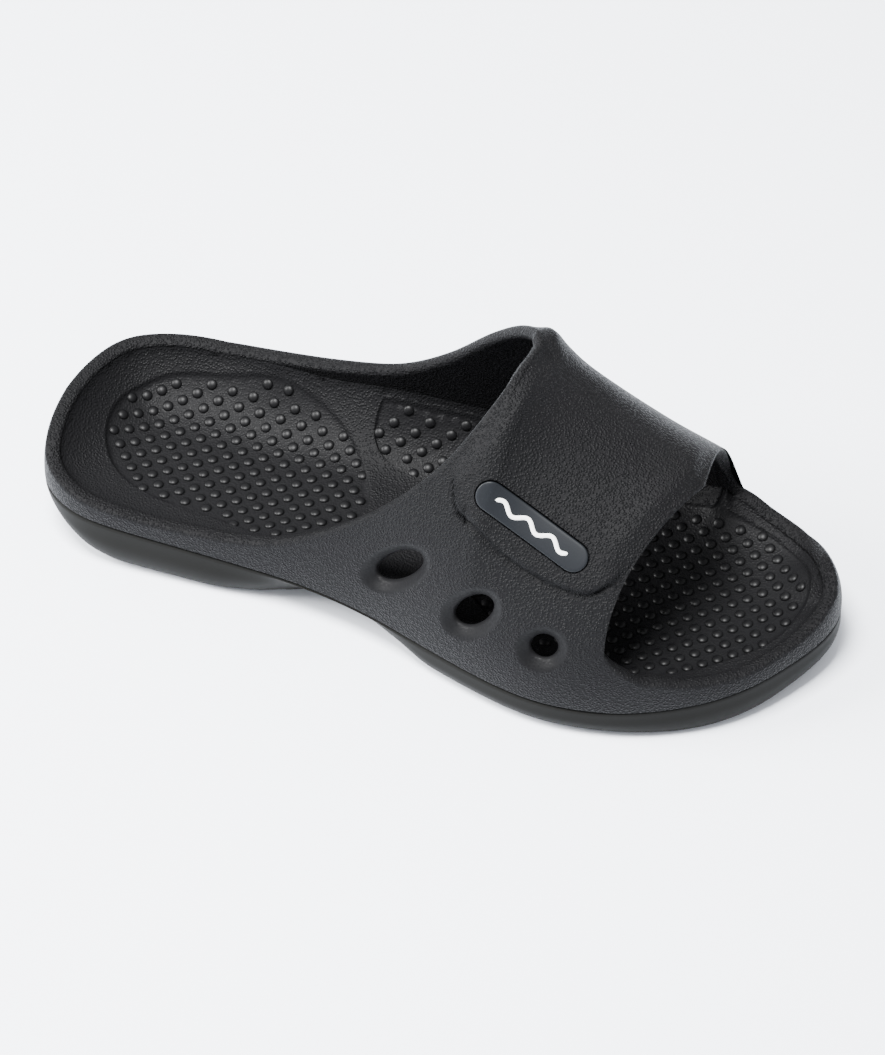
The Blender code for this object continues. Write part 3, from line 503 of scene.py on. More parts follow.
def ventDepth(points):  # dish depth at points of the skin, and how far each is inside a countersink
    depth = np.zeros(points.shape[:-1])
    smooth = np.zeros(points.shape[:-1])
    for hole in ventHoles:
        placed = np.array(skinFrame(hole["arc"], hole["up"], hole["lean"]))
        local = (points - placed[:3, 3]) @ placed[:3, :3]
        away = np.hypot(local[..., 0], local[..., 1])
        angle = np.arctan2(local[..., 1], local[..., 0])
        radii = []
        for along, across in ((hole["along"], hole["across"]), (hole["rimAlong"], hole["rimAcross"])):
            radii.append(mm / np.hypot(np.cos(angle) / along, np.sin(angle) / across))
        t = np.clip((radii[1] - away) / (radii[1] - radii[0]), 0.0, 1.3)
        near = (np.abs(local[..., 2]) < dish["reach"]) & (away < radii[1])
        ease = dish["ease"]
        eased = np.where(t < ease, t * t / (2 * ease), t - ease / 2) / (1 - ease / 2)
        depth = np.where(near, np.maximum(depth, dish["depth"] * eased), depth)
        smooth = np.where(near, np.maximum(smooth, smoothStep(0.0, dish["finish"], t)), smooth)
    return depth, smooth


def upperWalls():
    before, along, ahead = upperSettings["columns"]
    arcs = np.concatenate([
        spreadArcs(0.0, shoe["bandStart"], before),
        spreadArcs(shoe["bandStart"], shoe["bandEnd"], along)[1:],
        spreadArcs(shoe["bandEnd"], 1.0, ahead)[1:],
    ])
    feet = np.concatenate([
        spreadArcs(0.0, shoe["bandStart"], before),
        spreadArcs(shoe["bandStart"], 1.0, along + ahead, (0.0,))[1:],
    ])
    v = np.concatenate([[0.0, 0.0015, 0.004, 0.008], np.linspace(0.015, 1.0, upperSettings["rows"])])
    outer = {}
    inner = {}
    thicker = upperSettings["rimWall"] - upperSettings["strapWall"]
    wall = (upperSettings["strapWall"] + thicker * wallShare["rim"](arcs))[:, None, None]
    undercut = upperSettings["undercut"] * lipShape["undercut"](arcs)[:, None]
    innerV = np.linspace(0.0, 1.0, upperSettings["innerRows"])
    for side in ("lateral", "medial"):
        top = edgeShare(arcs, side)[:, None]
        up = top * v[None, :]
        leaning = feet[:, None] + (arcs - feet)[:, None] * np.sqrt(v)[None, :]
        bare = skin(leaning, up, side)
        normal = skinNormal(leaning, up, side)
        lift = panelLift(leaning, up, side)
        if side == "lateral":
            lift = lift - ventDepth(bare)[0]
        rise = np.linalg.norm(bare - bare[:, :1], axis=-1)
        radius = upperSettings["footRound"]
        tuck = radius - np.sqrt(np.maximum(radius**2 - np.maximum(radius - rise, 0.0) ** 2, 0.0))
        outer[side] = bare + normal * (lift - tuck)[..., None]
        outer[side][:, 0, 2] = bare[:, 0, 2]
        innerUp = top * innerV[None, :]
        innerArc = feet[:, None] + (arcs - feet)[:, None] * np.sqrt(innerV)[None, :]
        inner[side] = skin(innerArc, innerUp, side) - skinNormal(innerArc, innerUp, side) * wall
        inner[side][..., 0] -= undercut * innerV[None, :] ** 2
        inner[side][:, 0, 2] = partingHeight(inner[side][:, 0, 0]) + shoe["gap"] / 2
    for walls in (outer, inner):
        for k in (0, len(arcs) - 1):
            walls["lateral"][k] = walls["medial"][k] = (walls["lateral"][k] + walls["medial"][k]) / 2
        for k in range(before, before + along + 1):
            shared = (walls["lateral"][k, -1] + walls["medial"][k, -1]) / 2
            walls["lateral"][k, -1] = walls["medial"][k, -1] = shared
    return arcs, outer, inner


def lipRings(out, ins, square):  # lip between a wall's two edges: round where square is 0, flat where 1
    middle = (out + ins) / 2
    radius = np.linalg.norm(out - ins, axis=1, keepdims=True) / 2
    across = (out - ins) / (2 * radius)
    tangent = np.roll(middle, -1, 0) - np.roll(middle, 1, 0)
    beyond = unit(np.cross(across, tangent))
    rings = []
    for turn in np.linspace(0, math.pi, upperSettings["lipSteps"] + 1):
        power = 1 - upperSettings["lipSquare"] * square[:, None]
        sideways = np.sign(round(math.cos(turn), 9)) * abs(math.cos(turn)) ** power
        forwards = math.sin(turn) ** power * (1 - upperSettings["lipFlat"] * square[:, None])
        rings.append(middle + radius * (across * sideways + beyond * forwards))
    return np.stack(rings, axis=1)


def laidOn(points, heights, placed, surface):  # flat points laid on the strap, at heights over it
    outward = placed.to_3x3() @ Vector((0, 0, 1))
    laid = []
    for (x, y), height in zip(points, heights):
        spot = surface.ray_cast(placed @ Vector((x, y, rayStart)), -outward)[0]
        laid.append(spot + outward * float(height))
    return laid


def ventCutter(surface):  # filleted cutters through the strap, laid on its dished skin
    points = []
    faces = []
    for hole in ventHoles:
        placed = skinFrame(hole["arc"], hole["up"], hole["lean"])
        first = len(points)
        profile = [(dish["flare"], -dish["through"])]
        for turn in np.radians(np.linspace(0, 90, 7)):
            profile.append((dish["fillet"] * (1 - math.cos(turn)), -dish["fillet"] * (1 - math.sin(turn))))
        profile.append((3 * dish["fillet"], dish["lid"]))
        for k in range(dish["ring"]):
            turn = 2 * math.pi * k / dish["ring"]
            for grow, height in profile:
                along = (hole["along"] * mm + grow) * math.cos(turn)
                across = (hole["across"] * mm + grow) * math.sin(turn)
                points += laidOn([(along, across)], [height], placed, surface)
        rows = len(profile)
        faces += ringFaces(dish["ring"], rows, first)
        faces.append([first + k * rows for k in range(dish["ring"])][::-1])
        faces.append([first + k * rows + rows - 1 for k in range(dish["ring"])])
    cutter = newObject("ventCutter", points, faces)
    cleanMesh(cutter)
    return cutter


def around(start, end):  # columns along the lateral side and back along the medial one
    there = [(k, "lateral") for k in range(start, end + 1)]
    return there + [(k, "medial") for k in range(end - 1, start, -1)]


def buildUpper():
    arcs, outer, inner = upperWalls()
    before, along, _ = upperSettings["columns"]
    last = len(arcs) - 1
    points = []
    faces = []
    total = 0
    for walls, outward in ((outer, True), (inner, False)):
        for side in ("lateral", "medial"):
            grid = walls[side]
            points.append(grid.reshape(-1, 3))
            faces += gridFaces(grid.shape[0], grid.shape[1], total, (side == "lateral") != outward)
            total += grid.shape[0] * grid.shape[1]
    for loop in (around(0, before), around(before + along, last)):
        rings = lipRings(
            np.array([outer[side][k, -1] for k, side in loop]),
            np.array([inner[side][k, -1] for k, side in loop]),
            lipShape["square"](np.array([arcs[k] for k, side in loop])),
        )
        points.append(rings.reshape(-1, 3))
        faces += ringFaces(rings.shape[0], rings.shape[1], total)
        total += rings.shape[0] * rings.shape[1]
    edges = np.array([[outer[side][k, 0], inner[side][k, 0]] for k, side in around(0, last)])
    points.append(edges.reshape(-1, 3))
    faces += ringFaces(len(edges), 2, total)
    item = newObject("moulded_upper", np.concatenate(points), faces)
    cleanMesh(item)
    return item, inner


upper, innerWall = buildUpper()
print("upper walls", len(upper.data.polygons))
bareSurface = BVHTree.FromObject(upper, bpy.context.evaluated_depsgraph_get())
cutAway(upper, ventCutter(bareSurface))
print("vent holes cut", len(upper.data.polygons))
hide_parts("upper")
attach(upper, "root")


# Footbed

bedSettings = dict(
    thickness=5.5 * mm,
    archRise=19.0 * mm,
    fillet=28 * mm,
    climb=(2.4, 0.62),  # powers of the hollow and the steep part of the fillet
    nearest=0.3 * mm,  # the edge's height spreads inwards from here
    edgeSpacing=1.6 * mm,
    grid=1.35 * mm,
    seam=0.05 * mm,
    fieldDepth=1.2 * mm,
    fieldWall=0.7 * mm,
    fieldMargin=1.3 * mm,
    lap=0.6 * mm,  # how far the edge may climb over the top of the inner wall
    edgeRings=(0.5, 1.2, 2.1),  # mm from the edge
    spare=0.55 * mm,  # room between the rings and the loose points
    skirt=2.5 * mm,
    sheen=(0.4, 0.35),  # smoothness of the level floor, and what a sunk field adds
)
bed = table(
    "x floor lateral medial",
    (0.00, 0.60, 0.80, 0.80),
    (0.08, 0.60, 0.50, 0.95),
    (0.16, 0.75, 0.30, 1.00),
    (0.28, 1.20, 0.22, 1.00),
    (0.40, 1.95, 0.22, 1.05),
    (0.50, 1.90, 0.20, 0.95),
    (0.62, 1.25, 0.35, 0.55),
    (0.74, 1.00, 0.16, 0.40),
    (0.84, 0.90, 0.12, 0.64),
    (0.92, 0.80, 0.14, 0.70),
    (1.00, 0.60, 0.30, 0.42),
)
fields = {
    "heel": [
        (0.058, -0.010), (0.062, 0.110), (0.100, 0.225), (0.160, 0.275), (0.240, 0.300), (0.300, 0.280),
        (0.350, 0.220), (0.392, 0.110), (0.412, 0.000), (0.400, -0.110), (0.372, -0.205), (0.345, -0.262),
        (0.300, -0.255), (0.240, -0.235), (0.160, -0.225), (0.100, -0.170),
    ],
    "arch": [
        (0.378, 0.250), (0.380, 0.320), (0.402, 0.365), (0.440, 0.385), (0.500, 0.400), (0.560, 0.400),
        (0.580, 0.320), (0.540, 0.240), (0.480, 0.180), (0.420, 0.170), (0.392, 0.200),
    ],
    "forefoot": [
        (0.560, -0.110), (0.600, -0.235), (0.680, -0.300), (0.770, -0.292), (0.840, -0.255), (0.900, -0.130),
        (0.940, -0.020), (0.958, 0.110), (0.958, 0.215), (0.930, 0.320), (0.880, 0.395), (0.800, 0.430),
        (0.710, 0.400), (0.640, 0.310), (0.590, 0.180), (0.562, 0.030),
    ],
}


def bedLevel(x):
    return partingHeight(x) + bed["floor"](shareOfLength(x)) * bedSettings["thickness"]


def innerWallRing(heightOf):  # where the inner wall has a given height, all round
    ring = []
    for k, side in around(0, len(innerWall["lateral"]) - 1):
        column = innerWall[side][k]
        column = column[: int(np.argmax(column[:, 2])) + 1]
        wanted = heightOf(column[0, 0], side, column[-1, 2])
        spot = [np.interp(wanted, column[:, 2], column[:, axis]) for axis in (0, 1)]
        ring.append([*spot, wanted])
    return np.array(ring)


def bedEdgeHeight(x, side, room):
    return min(bedLevel(x) + bed[side](shareOfLength(x)) * bedSettings["archRise"], room + bedSettings["lap"])


def bedHeights(points, edge):  # a level floor with hollow fillets that climb to the edge
    heights = np.empty(len(points))
    hollow, steep = bedSettings["climb"]
    rises = edge[:, 2] - bedLevel(edge[:, 0])
    for start in range(0, len(points), 1500):
        part = points[start : start + 1500]
        away = np.hypot(part[:, None, 0] - edge[None, :, 0], part[:, None, 1] - edge[None, :, 1])
        weight = 1 / np.maximum(away, bedSettings["nearest"]) ** 4
        rise = (weight * rises).sum(axis=1) / weight.sum(axis=1)
        share = np.clip(1 - away.min(axis=1) / bedSettings["fillet"], 0.0, 1.0)
        climb = (share**hollow + 1 - (1 - share**2) ** steep) / 2
        heights[start : start + 1500] = bedLevel(part[:, 0]) + rise * climb
    return heights


def fieldRings(edge):
    rings = []
    normal = inwards(edge)
    for outline in fields.values():
        ring = closedSpline(planPoints(outline), 12)
        if np.sum(ring[:, 0] * np.roll(ring[:, 1], -1) - ring[:, 1] * np.roll(ring[:, 0], -1)) < 0:
            ring = ring[::-1]
        index = nearestOn(ring, edge)[1]
        depth = np.sum((ring - edge[index, :2]) * normal[index], axis=1)
        ring = ring + normal[index] * np.maximum(0.0, bedSettings["fieldMargin"] - depth)[:, None]
        rings.append(evenRing(ring, 1.2 * mm))
    return rings


def buildFootbed():
    edge = evenRing(innerWallRing(bedEdgeHeight), bedSettings["edgeSpacing"])
    for _ in range(3):
        edge = 0.25 * np.roll(edge, 1, 0) + 0.5 * edge + 0.25 * np.roll(edge, -1, 0)
    edge[:, :2] = inset(edge, bedSettings["seam"])
    rings = fieldRings(edge)
    wall = bedSettings["fieldWall"]
    kept = [edge[:, :2]]
    for ring in rings:
        kept += [inset(ring, -wall / 2), ring, inset(ring, wall / 2), inset(ring, wall)]
    kept += [inset(edge, step * mm) for step in bedSettings["edgeRings"]]
    borders = np.concatenate(kept)
    low = edge[:, :2].min(axis=0)
    high = edge[:, :2].max(axis=0)
    grid = bedSettings["grid"]
    loose = []
    for row, y in enumerate(np.arange(low[1], high[1], grid * 0.87)):
        xs = np.arange(low[0] + grid / 2 * (row % 2), high[0], grid)
        loose.append(np.stack([xs, np.full(len(xs), y)], axis=1))
    loose = np.concatenate(loose)
    loose = loose[insideOf(loose, edge)]
    loose = loose[nearestOn(loose, borders)[0] > bedSettings["spare"]]
    links = []
    first = 0
    for ring in kept:
        links += ringLinks(first, len(ring))
        first += len(ring)
    corners, tris = triangulated(np.concatenate([borders, loose]), links, edge, 1e-8)
    heights = bedHeights(corners, edge)
    depth = np.zeros(len(corners))
    for ring in rings:
        within = insideOf(corners, inset(ring, -0.02 * mm))
        away = nearestOn(corners, evenRing(ring, 0.3 * mm))[0]
        depth = np.where(within, bedSettings["fieldDepth"] * smoothStep(0.0, wall, away), depth)
    heights = heights - depth
    sunk = depth / bedSettings["fieldDepth"]
    count = len(edge)
    heights[:count] = edge[:, 2]
    points = np.column_stack([corners, heights])
    skirt = np.column_stack([inset(edge, 0.2 * mm), edge[:, 2] - bedSettings["skirt"]])
    floor = np.column_stack([inset(edge, 0.6 * mm), partingHeight(edge[:, 0]) + shoe["gap"] / 2])
    floor[:, 2] = np.minimum(floor[:, 2], skirt[:, 2] - 0.2 * mm)
    faces = tris.tolist()
    above = range(count)
    for first in (len(points), len(points) + count):
        below = range(first, first + count)
        faces += joined(above, below)
        above = below
    faces.append(list(above)[::-1])
    item = newObject("moulded_footbed", np.concatenate([points, skirt, floor]), faces)
    level, added = bedSettings["sheen"]
    setSmoothness(item, np.concatenate([level + added * sunk, np.zeros(2 * count)]))
    cleanMesh(item, 1e-7, 60)
    return item, rings


footbed, bedFields = buildFootbed()
print("footbed", len(footbed.data.polygons))
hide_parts("footbed")
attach(footbed, "root")


# Outsole

soleSettings = dict(
    heelBulge=1.2 * mm,
    tuck=7.0 * mm,
    toeSpring=8.5 * mm,
    archLift=4.5 * mm,
    edgePower=0.9,
    edgeRound=0.8 * mm,
    spacing=1.5 * mm,
    rows=20,
    channelWidth=4.0 * mm,
    channelDepth=2.0 * mm,
    channelPitch=12.0 * mm,
    channelMargin=13.0 * mm,
    channels=((0.1436, 0.31), (0.58, 0.86)),
    channelTaper=0.25 * mm,
    cutterReach=1.7 * mm,  # how far the cutter starts under the sole
    capSpacing=6 * mm,
    capMargin=3 * mm,
)


def bottomHeight(x):
    share = shareOfLength(x)
    return sole["spring"](share) * soleSettings["toeSpring"] + sole["arch"](share) * soleSettings["archLift"]


def planCap(ring, heightOf):  # plan triangles inside a ring, laid at a height
    spacing = soleSettings["capSpacing"]
    low = ring.min(axis=0)
    high = ring.max(axis=0)
    gx, gy = np.meshgrid(np.arange(low[0], high[0], spacing), np.arange(low[1], high[1], spacing))
    loose = np.stack([gx.ravel(), gy.ravel()], axis=1)
    loose = loose[insideOf(loose, ring)]
    loose = loose[nearestOn(loose, ring)[0] > soleSettings["capMargin"]]
    corners, tris = triangulated(np.concatenate([ring, loose]), ringLinks(0, len(ring)), ring, 1e-9)
    return np.column_stack([corners, heightOf(corners[:, 0])]), tris


def channelCutter():
    parts = []
    for start, end in soleSettings["channels"]:
        first = (start - 0.5) * shoe["length"]
        steps = int((end - start) * shoe["length"] / soleSettings["channelPitch"]) + 1
        for k in range(steps):
            x = first + k * soleSettings["channelPitch"]
            sides = {name: np.interp(x, path[:, 0], path[:, 1]) for name, path in sidePaths.items()}
            low = sides["lateral"] + soleSettings["channelMargin"]
            high = sides["medial"] - soleSettings["channelMargin"]
            parts.append((x, low, high, float(bottomHeight(x))))
    points = []
    faces = []
    radius = soleSettings["channelWidth"] / 2
    turns = [math.radians(180 * k / 8) for k in range(9)]
    for x, low, high, bottom in parts:
        outline = [(x + radius * math.cos(t), high - radius + radius * math.sin(t)) for t in turns]
        outline += [(x - radius * math.cos(t), low + radius - radius * math.sin(t)) for t in turns]
        first = len(points)
        count = len(outline)
        mouth = (0.0, bottom - soleSettings["cutterReach"])
        ceiling = (soleSettings["channelTaper"], bottom + soleSettings["channelDepth"])
        for inner, z in (mouth, ceiling):
            points += [(x + (px - x) * (1 - inner / radius), py, z) for px, py in outline]
        lower = list(range(first, first + count))
        higher = [k + count for k in lower]
        faces += joined(lower, higher, True) + [lower[::-1], higher]
    cutter = newObject("channelCutter", points, faces)
    cleanMesh(cutter, 1e-7)
    return cutter


def buildOutsole():
    outline = np.concatenate([sidePaths["lateral"], sidePaths["medial"][-2:0:-1]])
    ring = evenRing(outline, soleSettings["spacing"])
    shares = shareOfLength(ring[:, 0])
    top = partingHeight(ring[:, 0]) - shoe["gap"] / 2
    bottom = bottomHeight(ring[:, 0])
    radius = soleSettings["edgeRound"]
    layers = []
    for turn in np.linspace(0, math.pi / 2, 5)[:-1]:  # rounded upper edge
        outline = inset(ring, radius * (1 - math.sin(turn)))
        layers.append(np.column_stack([outline, top - radius * (1 - math.cos(turn))]))
    start = radius / (top - bottom)
    for level in np.linspace(0, 1, soleSettings["rows"]):
        turn = (start + (1 - start) * level) * math.pi / 2
        fade = smoothStep(0.0, 0.25, level)
        bulge = soleSettings["heelBulge"] * sole["bulge"](shares) * np.sin(2 * turn) * fade
        chamfer = sole["chamfer"](shares)
        straight = start + (1 - start) * level
        rounded = 1 - np.maximum(np.cos(turn), 0) ** soleSettings["edgePower"]
        tuck = soleSettings["tuck"] * sole["tuck"](shares) * (rounded + (straight - rounded) * chamfer)
        fall = np.sin(turn) ** soleSettings["edgePower"]
        drop = fall + (straight - fall) * chamfer
        outline = inset(ring, tuck - bulge)
        bottom = bottomHeight(outline[:, 0])
        z = np.minimum(top + (bottom - top) * drop, top - radius)
        layers.append(np.column_stack([outline, z]))
    topPoints, topTris = planCap(layers[0][:, :2], lambda x: partingHeight(x) - shoe["gap"] / 2)
    endPoints, endTris = planCap(layers[-1][:, :2], bottomHeight)
    points = np.concatenate(layers)
    faces = stacked(len(layers), len(ring))
    faces += (topTris + len(points)).tolist()
    faces += (endTris + len(points) + len(topPoints))[:, ::-1].tolist()
    item = newObject("moulded_outsole", np.concatenate([points, topPoints, endPoints]), faces)
    cleanMesh(item, 1e-6, 55)
    cutAway(item, channelCutter())
    smoothSurface(item, 55)
    return item


outsole = buildOutsole()
print("outsole", len(outsole.data.polygons))
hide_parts("outsole")
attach(outsole, "root")


# Badge

badgeSettings = dict(
    length=42.5 * mm,
    width=9.8 * mm,
    thickness=1.8 * mm,
    proud=0.5 * mm,
    edge=0.45 * mm,
    place=(0.6135, 0.540, -20),  # arc, up and lean on the skin
    waveLength=9.6 * mm,
    waveHeight=1.25 * mm,
    waveWidth=1.5 * mm,
    waveRise=0.25 * mm,
    waveCount=3,
    waveSunk=0.2 * mm,
    pocketGrow=0.3 * mm,
    flatRings=(1.2, 2.4, 3.6),  # mm from the edge
)


def stadiumRing(length, width, count=24, spans=20):
    radius = width / 2
    straight = length / 2 - radius
    ring = []
    for side, start in ((1, -90), (-1, 90)):
        for k in range(count):
            turn = math.radians(start + 180 * k / (count - 1))
            ring.append((side * straight + radius * math.cos(turn), radius * math.sin(turn)))
        for k in range(1, spans):
            ring.append((side * straight * (1 - 2 * k / spans), side * radius))
    return np.array(ring)


def plateMesh(name, rings, heights, placed, surface):  # nested rings closed by a capped middle
    count = len(rings[0])
    points = []
    for ring, height in zip(rings, heights):
        points += laidOn(ring, [height] * count, placed, surface)
    faces = stacked(len(rings), count, True)
    for level, flip in ((0, True), (len(rings) - 1, False)):
        flat = [Vector(point) for point in rings[level]]
        tris = delaunay_2d_cdt(flat, [], [list(range(count))], 1, 1e-9)[2]
        for tri in tris:
            face = [level * count + k for k in tri]
            faces.append(face[::-1] if flip else face)
    item = newObject(name, points, faces)
    cleanMesh(item, 1e-7, 60)
    return item


def badgeRing(inward):
    return stadiumRing(badgeSettings["length"] - 2 * inward, badgeSettings["width"] - 2 * inward)


def buildBadge(surface):
    high = badgeSettings["proud"]
    edge = badgeSettings["edge"]
    rings = [badgeRing(0.0), badgeRing(0.0)]
    heights = [high - badgeSettings["thickness"], high - edge]
    for turn in np.radians((30, 60, 90)):
        rings.append(badgeRing(edge * (1 - math.cos(turn))))
        heights.append(high - edge * (1 - math.sin(turn)))
    for inward in badgeSettings["flatRings"]:
        rings.append(badgeRing(inward * mm))
        heights.append(high)
    return plateMesh("rubber_badge", rings, heights, skinFrame(*badgeSettings["place"]), surface)


def buildPocket(surface):
    grow = badgeSettings["pocketGrow"]
    low = badgeSettings["proud"] - badgeSettings["thickness"] - shoe["gap"]
    rings = [badgeRing(-grow), badgeRing(-grow), badgeRing(-2 * grow), badgeRing(-2 * grow)]
    heights = [low, -0.3 * mm, 0.05 * mm, 3 * mm]
    return plateMesh("badgePocket", rings, heights, skinFrame(*badgeSettings["place"]), surface)


def buildWave(surface):  # a plain raised wavy line along the badge
    placed = skinFrame(*badgeSettings["place"])
    count = 96
    half = badgeSettings["waveCount"] * badgeSettings["waveLength"] / 2
    xs = np.linspace(-half, half, count)
    ys = badgeSettings["waveHeight"] * np.sin(2 * math.pi * (xs + half) / badgeSettings["waveLength"])
    line = np.stack([xs, ys], axis=1)
    tangent = unit(np.gradient(line, axis=0))
    side = np.stack([-tangent[:, 1], tangent[:, 0]], axis=1)
    points = []
    rows = 7
    sunk = badgeSettings["waveSunk"]
    for k in range(count):
        end = min(1.0, min(k, count - 1 - k) / 4)
        width = badgeSettings["waveWidth"] / 2 * math.sqrt(1 - (1 - end) ** 2) + 0.02 * mm
        for turn in np.linspace(0, math.pi, rows):
            flat = line[k] + side[k] * width * math.cos(turn)
            height = badgeSettings["proud"] - sunk
            height += (sunk + badgeSettings["waveRise"]) * math.sin(turn) ** 0.6
            points += laidOn([flat], [height], placed, surface)
    faces = gridFaces(count, rows)
    for k in range(count - 1):
        faces.append([k * rows, k * rows + rows - 1, (k + 1) * rows + rows - 1, (k + 1) * rows])
    faces.append(list(range(rows))[::-1])
    faces.append([(count - 1) * rows + row for row in range(rows)])
    item = newObject("badge_wave", points, faces)
    cleanMesh(item, 1e-7, 60)
    return item


badge = buildBadge(bareSurface)
wave = buildWave(bareSurface)
cutAway(upper, buildPocket(bareSurface))
smoothSurface(upper, 50)
print("badge", len(badge.data.polygons))
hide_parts("badge")
for piece in (badge, wave):
    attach(piece, "root")


# Materials

def linear(hexColour):  # sRGB hex to linear
    channels = [int(hexColour[k : k + 2], 16) / 255 for k in (1, 3, 5)]
    return (*[c / 12.92 if c <= 0.04045 else ((c + 0.055) / 1.055) ** 2.4 for c in channels], 1.0)


def addNode(tree, kind, links=(), values=(), **settings):
    node = tree.nodes.new(kind)
    for name, value in settings.items():
        setattr(node, name, value)
    for socket, value in values:
        node.inputs[socket].default_value = value
    for socket, source in links:
        tree.links.new(source, node.inputs[socket])
    return node


def addNoise(tree, place, scale, detail):
    values = [("Scale", scale), ("Detail", detail)]
    return addNode(tree, "ShaderNodeTexNoise", [("Vector", place)], values)


def addRange(tree, source, ends, start, end):  # maps ends onto start and end
    values = zip((1, 2, 3, 4), (*ends, start, end))
    return addNode(tree, "ShaderNodeMapRange", [("Value", source)], values).outputs[0]


def addMath(tree, operation, first, second):  # the second term is a socket or a number
    numbers = [(1, second)] if isinstance(second, float) else []
    links = [(0, first)] + ([] if numbers else [(1, second)])
    return addNode(tree, "ShaderNodeMath", links, numbers, operation=operation).outputs[0]


def addTint(tree, shader, factor, form):  # mottles the base colour towards the pale one
    tints = [(6, linear(form["colour"])), (7, linear(form["pale"]))]
    tone = addNode(tree, "ShaderNodeMix", [("Factor", factor)], tints, data_type="RGBA")
    tree.links.new(tone.outputs[2], shader.inputs["Base Color"])


def addBump(tree, shader, links, values):
    bump = addNode(tree, "ShaderNodeBump", links, values)
    tree.links.new(bump.outputs["Normal"], shader.inputs["Normal"])


def newMaterial(name, colour, roughness, ior=1.5, specular=0.5):
    finish = bpy.data.materials.new(name)
    finish.use_nodes = True
    shader = finish.node_tree.nodes["Principled BSDF"]
    shader.inputs["Base Color"].default_value = linear(colour)
    shader.inputs["Roughness"].default_value = roughness
    shader.inputs["IOR"].default_value = ior
    shader.inputs["Specular IOR Level"].default_value = specular
    return finish, finish.node_tree, shader


grain = dict(
    colour="#0B0B0C",
    pale="#101011",
    roughness=0.45,
    pebble=0.82,  # mm across a pebble
    fine=0.3,  # mm across the fine grit between pebbles
    depth=0.4 * mm,
    warp=0.35,  # share of a pebble that the pattern is shifted by
    gritShare=0.22,
    worn=0.12,  # share of the grain that is left where smoothness is 1
    sheen=(0.55, 0.27),  # roughness between the pebbles and on top of them
)


def grainedFoam(name):  # moulded EVA foam: an even pebble grain, dull black, with a soft sheen
    finish, tree, shader = newMaterial(name, grain["colour"], grain["roughness"], 1.48, 0.06)
    place = addNode(tree, "ShaderNodeTexCoord").outputs["Object"]
    perMetre = 1000 / grain["pebble"]
    warp = addNoise(tree, place, perMetre * 0.6, 1.0).outputs["Color"]
    reach = [("Scale", grain["warp"] * grain["pebble"] * mm)]
    shift = addNode(tree, "ShaderNodeVectorMath", [(0, warp)], reach, operation="SCALE")
    terms = [(0, place), (1, shift.outputs[0])]
    moved = addNode(tree, "ShaderNodeVectorMath", terms, operation="ADD").outputs[0]
    even = [("Scale", perMetre), ("Smoothness", 0.35)]
    cells = addNode(tree, "ShaderNodeTexVoronoi", [("Vector", moved)], even, feature="SMOOTH_F1")
    grit = addNoise(tree, place, 1000 / grain["fine"], 2.0).outputs["Fac"]
    dome = addRange(tree, cells.outputs["Distance"], (0.0, 0.62), 1.0, 0.0)
    heights = addMath(tree, "ADD", dome, addMath(tree, "MULTIPLY", grit, grain["gritShare"]))
    smooth = addNode(tree, "ShaderNodeAttribute", attribute_name="smoothness").outputs["Fac"]
    share = addRange(tree, smooth, (0.0, 1.0), 1.0, grain["worn"])
    addBump(tree, shader, [("Height", heights), ("Strength", share)], [("Distance", grain["depth"])])
    addTint(tree, shader, addNoise(tree, place, 28.0, 3.0).outputs["Fac"], grain)
    tree.links.new(addRange(tree, dome, (0.0, 1.0), *grain["sheen"]), shader.inputs["Roughness"])
    return finish


smoothFoam = dict(colour="#121211", pale="#171716", roughness=0.48, grit=0.6, depth=0.03 * mm)


def skinnedFoam(name):  # the outsole's smooth moulded EVA: a closed satin skin, slightly warm
    finish, tree, shader = newMaterial(name, smoothFoam["colour"], smoothFoam["roughness"], 1.48, 0.03)
    place = addNode(tree, "ShaderNodeTexCoord").outputs["Object"]
    addTint(tree, shader, addNoise(tree, place, 22.0, 4.0).outputs["Fac"], smoothFoam)
    grit = addNoise(tree, place, 1000 / smoothFoam["grit"], 3.0).outputs["Fac"]
    addBump(tree, shader, [("Height", grit)], [("Strength", 0.5), ("Distance", smoothFoam["depth"])])
    return finish


def rubberPlate(name, colour, roughness, specular):  # moulded rubber or foam with a faint grit
    finish, tree, shader = newMaterial(name, colour, roughness, 1.5, specular)
    place = addNode(tree, "ShaderNodeTexCoord").outputs["Object"]
    grit = addNoise(tree, place, 2500.0, 2.0).outputs["Fac"]
    addBump(tree, shader, [("Height", grit)], [("Strength", 0.5), ("Distance", 0.02 * mm)])
    return finish


grainedBlack = grainedFoam("eva_foam_black_pebbled")
charcoalSkin = skinnedFoam("eva_foam_charcoal_satin")
slateRubber = rubberPlate("rubber_slate_satin", "#111316", 0.42, 0.15)
whiteRubber = rubberPlate("rubber_white_satin", "#E8E8E6", 0.5, 0.15)
polishedBlack = rubberPlate("eva_foam_black_polished", "#09090A", 0.42, 0.12)


def vertexPoints(item):
    points = np.empty(len(item.data.vertices) * 3)
    item.data.vertices.foreach_get("co", points)
    return points.reshape(-1, 3)


def dressed(item, finish):
    item.data.materials.clear()
    item.data.materials.append(finish)


setSmoothness(upper, ventDepth(vertexPoints(upper))[1])
dressed(upper, grainedBlack)
dressed(footbed, grainedBlack)
dressed(outsole, charcoalSkin)
dressed(badge, slateRubber)
dressed(wave, whiteRubber)
print("materials made")


# Massage nubs of the footbed, by Geometry Nodes

nubSettings = dict(
    pitchAlong=7.9 * mm,
    pitchAcross=7.3 * mm,
    radius=1.9 * mm,
    height=0.95 * mm,
    sides=16,
    rings=5,
    seed=4,
    spread=0.06,  # how much larger a nub may be than another
    border=1.0 * mm,  # room between a nub's middle and the border of its field
    foot=0.25,  # share of its height that a nub's foot is sunk
)


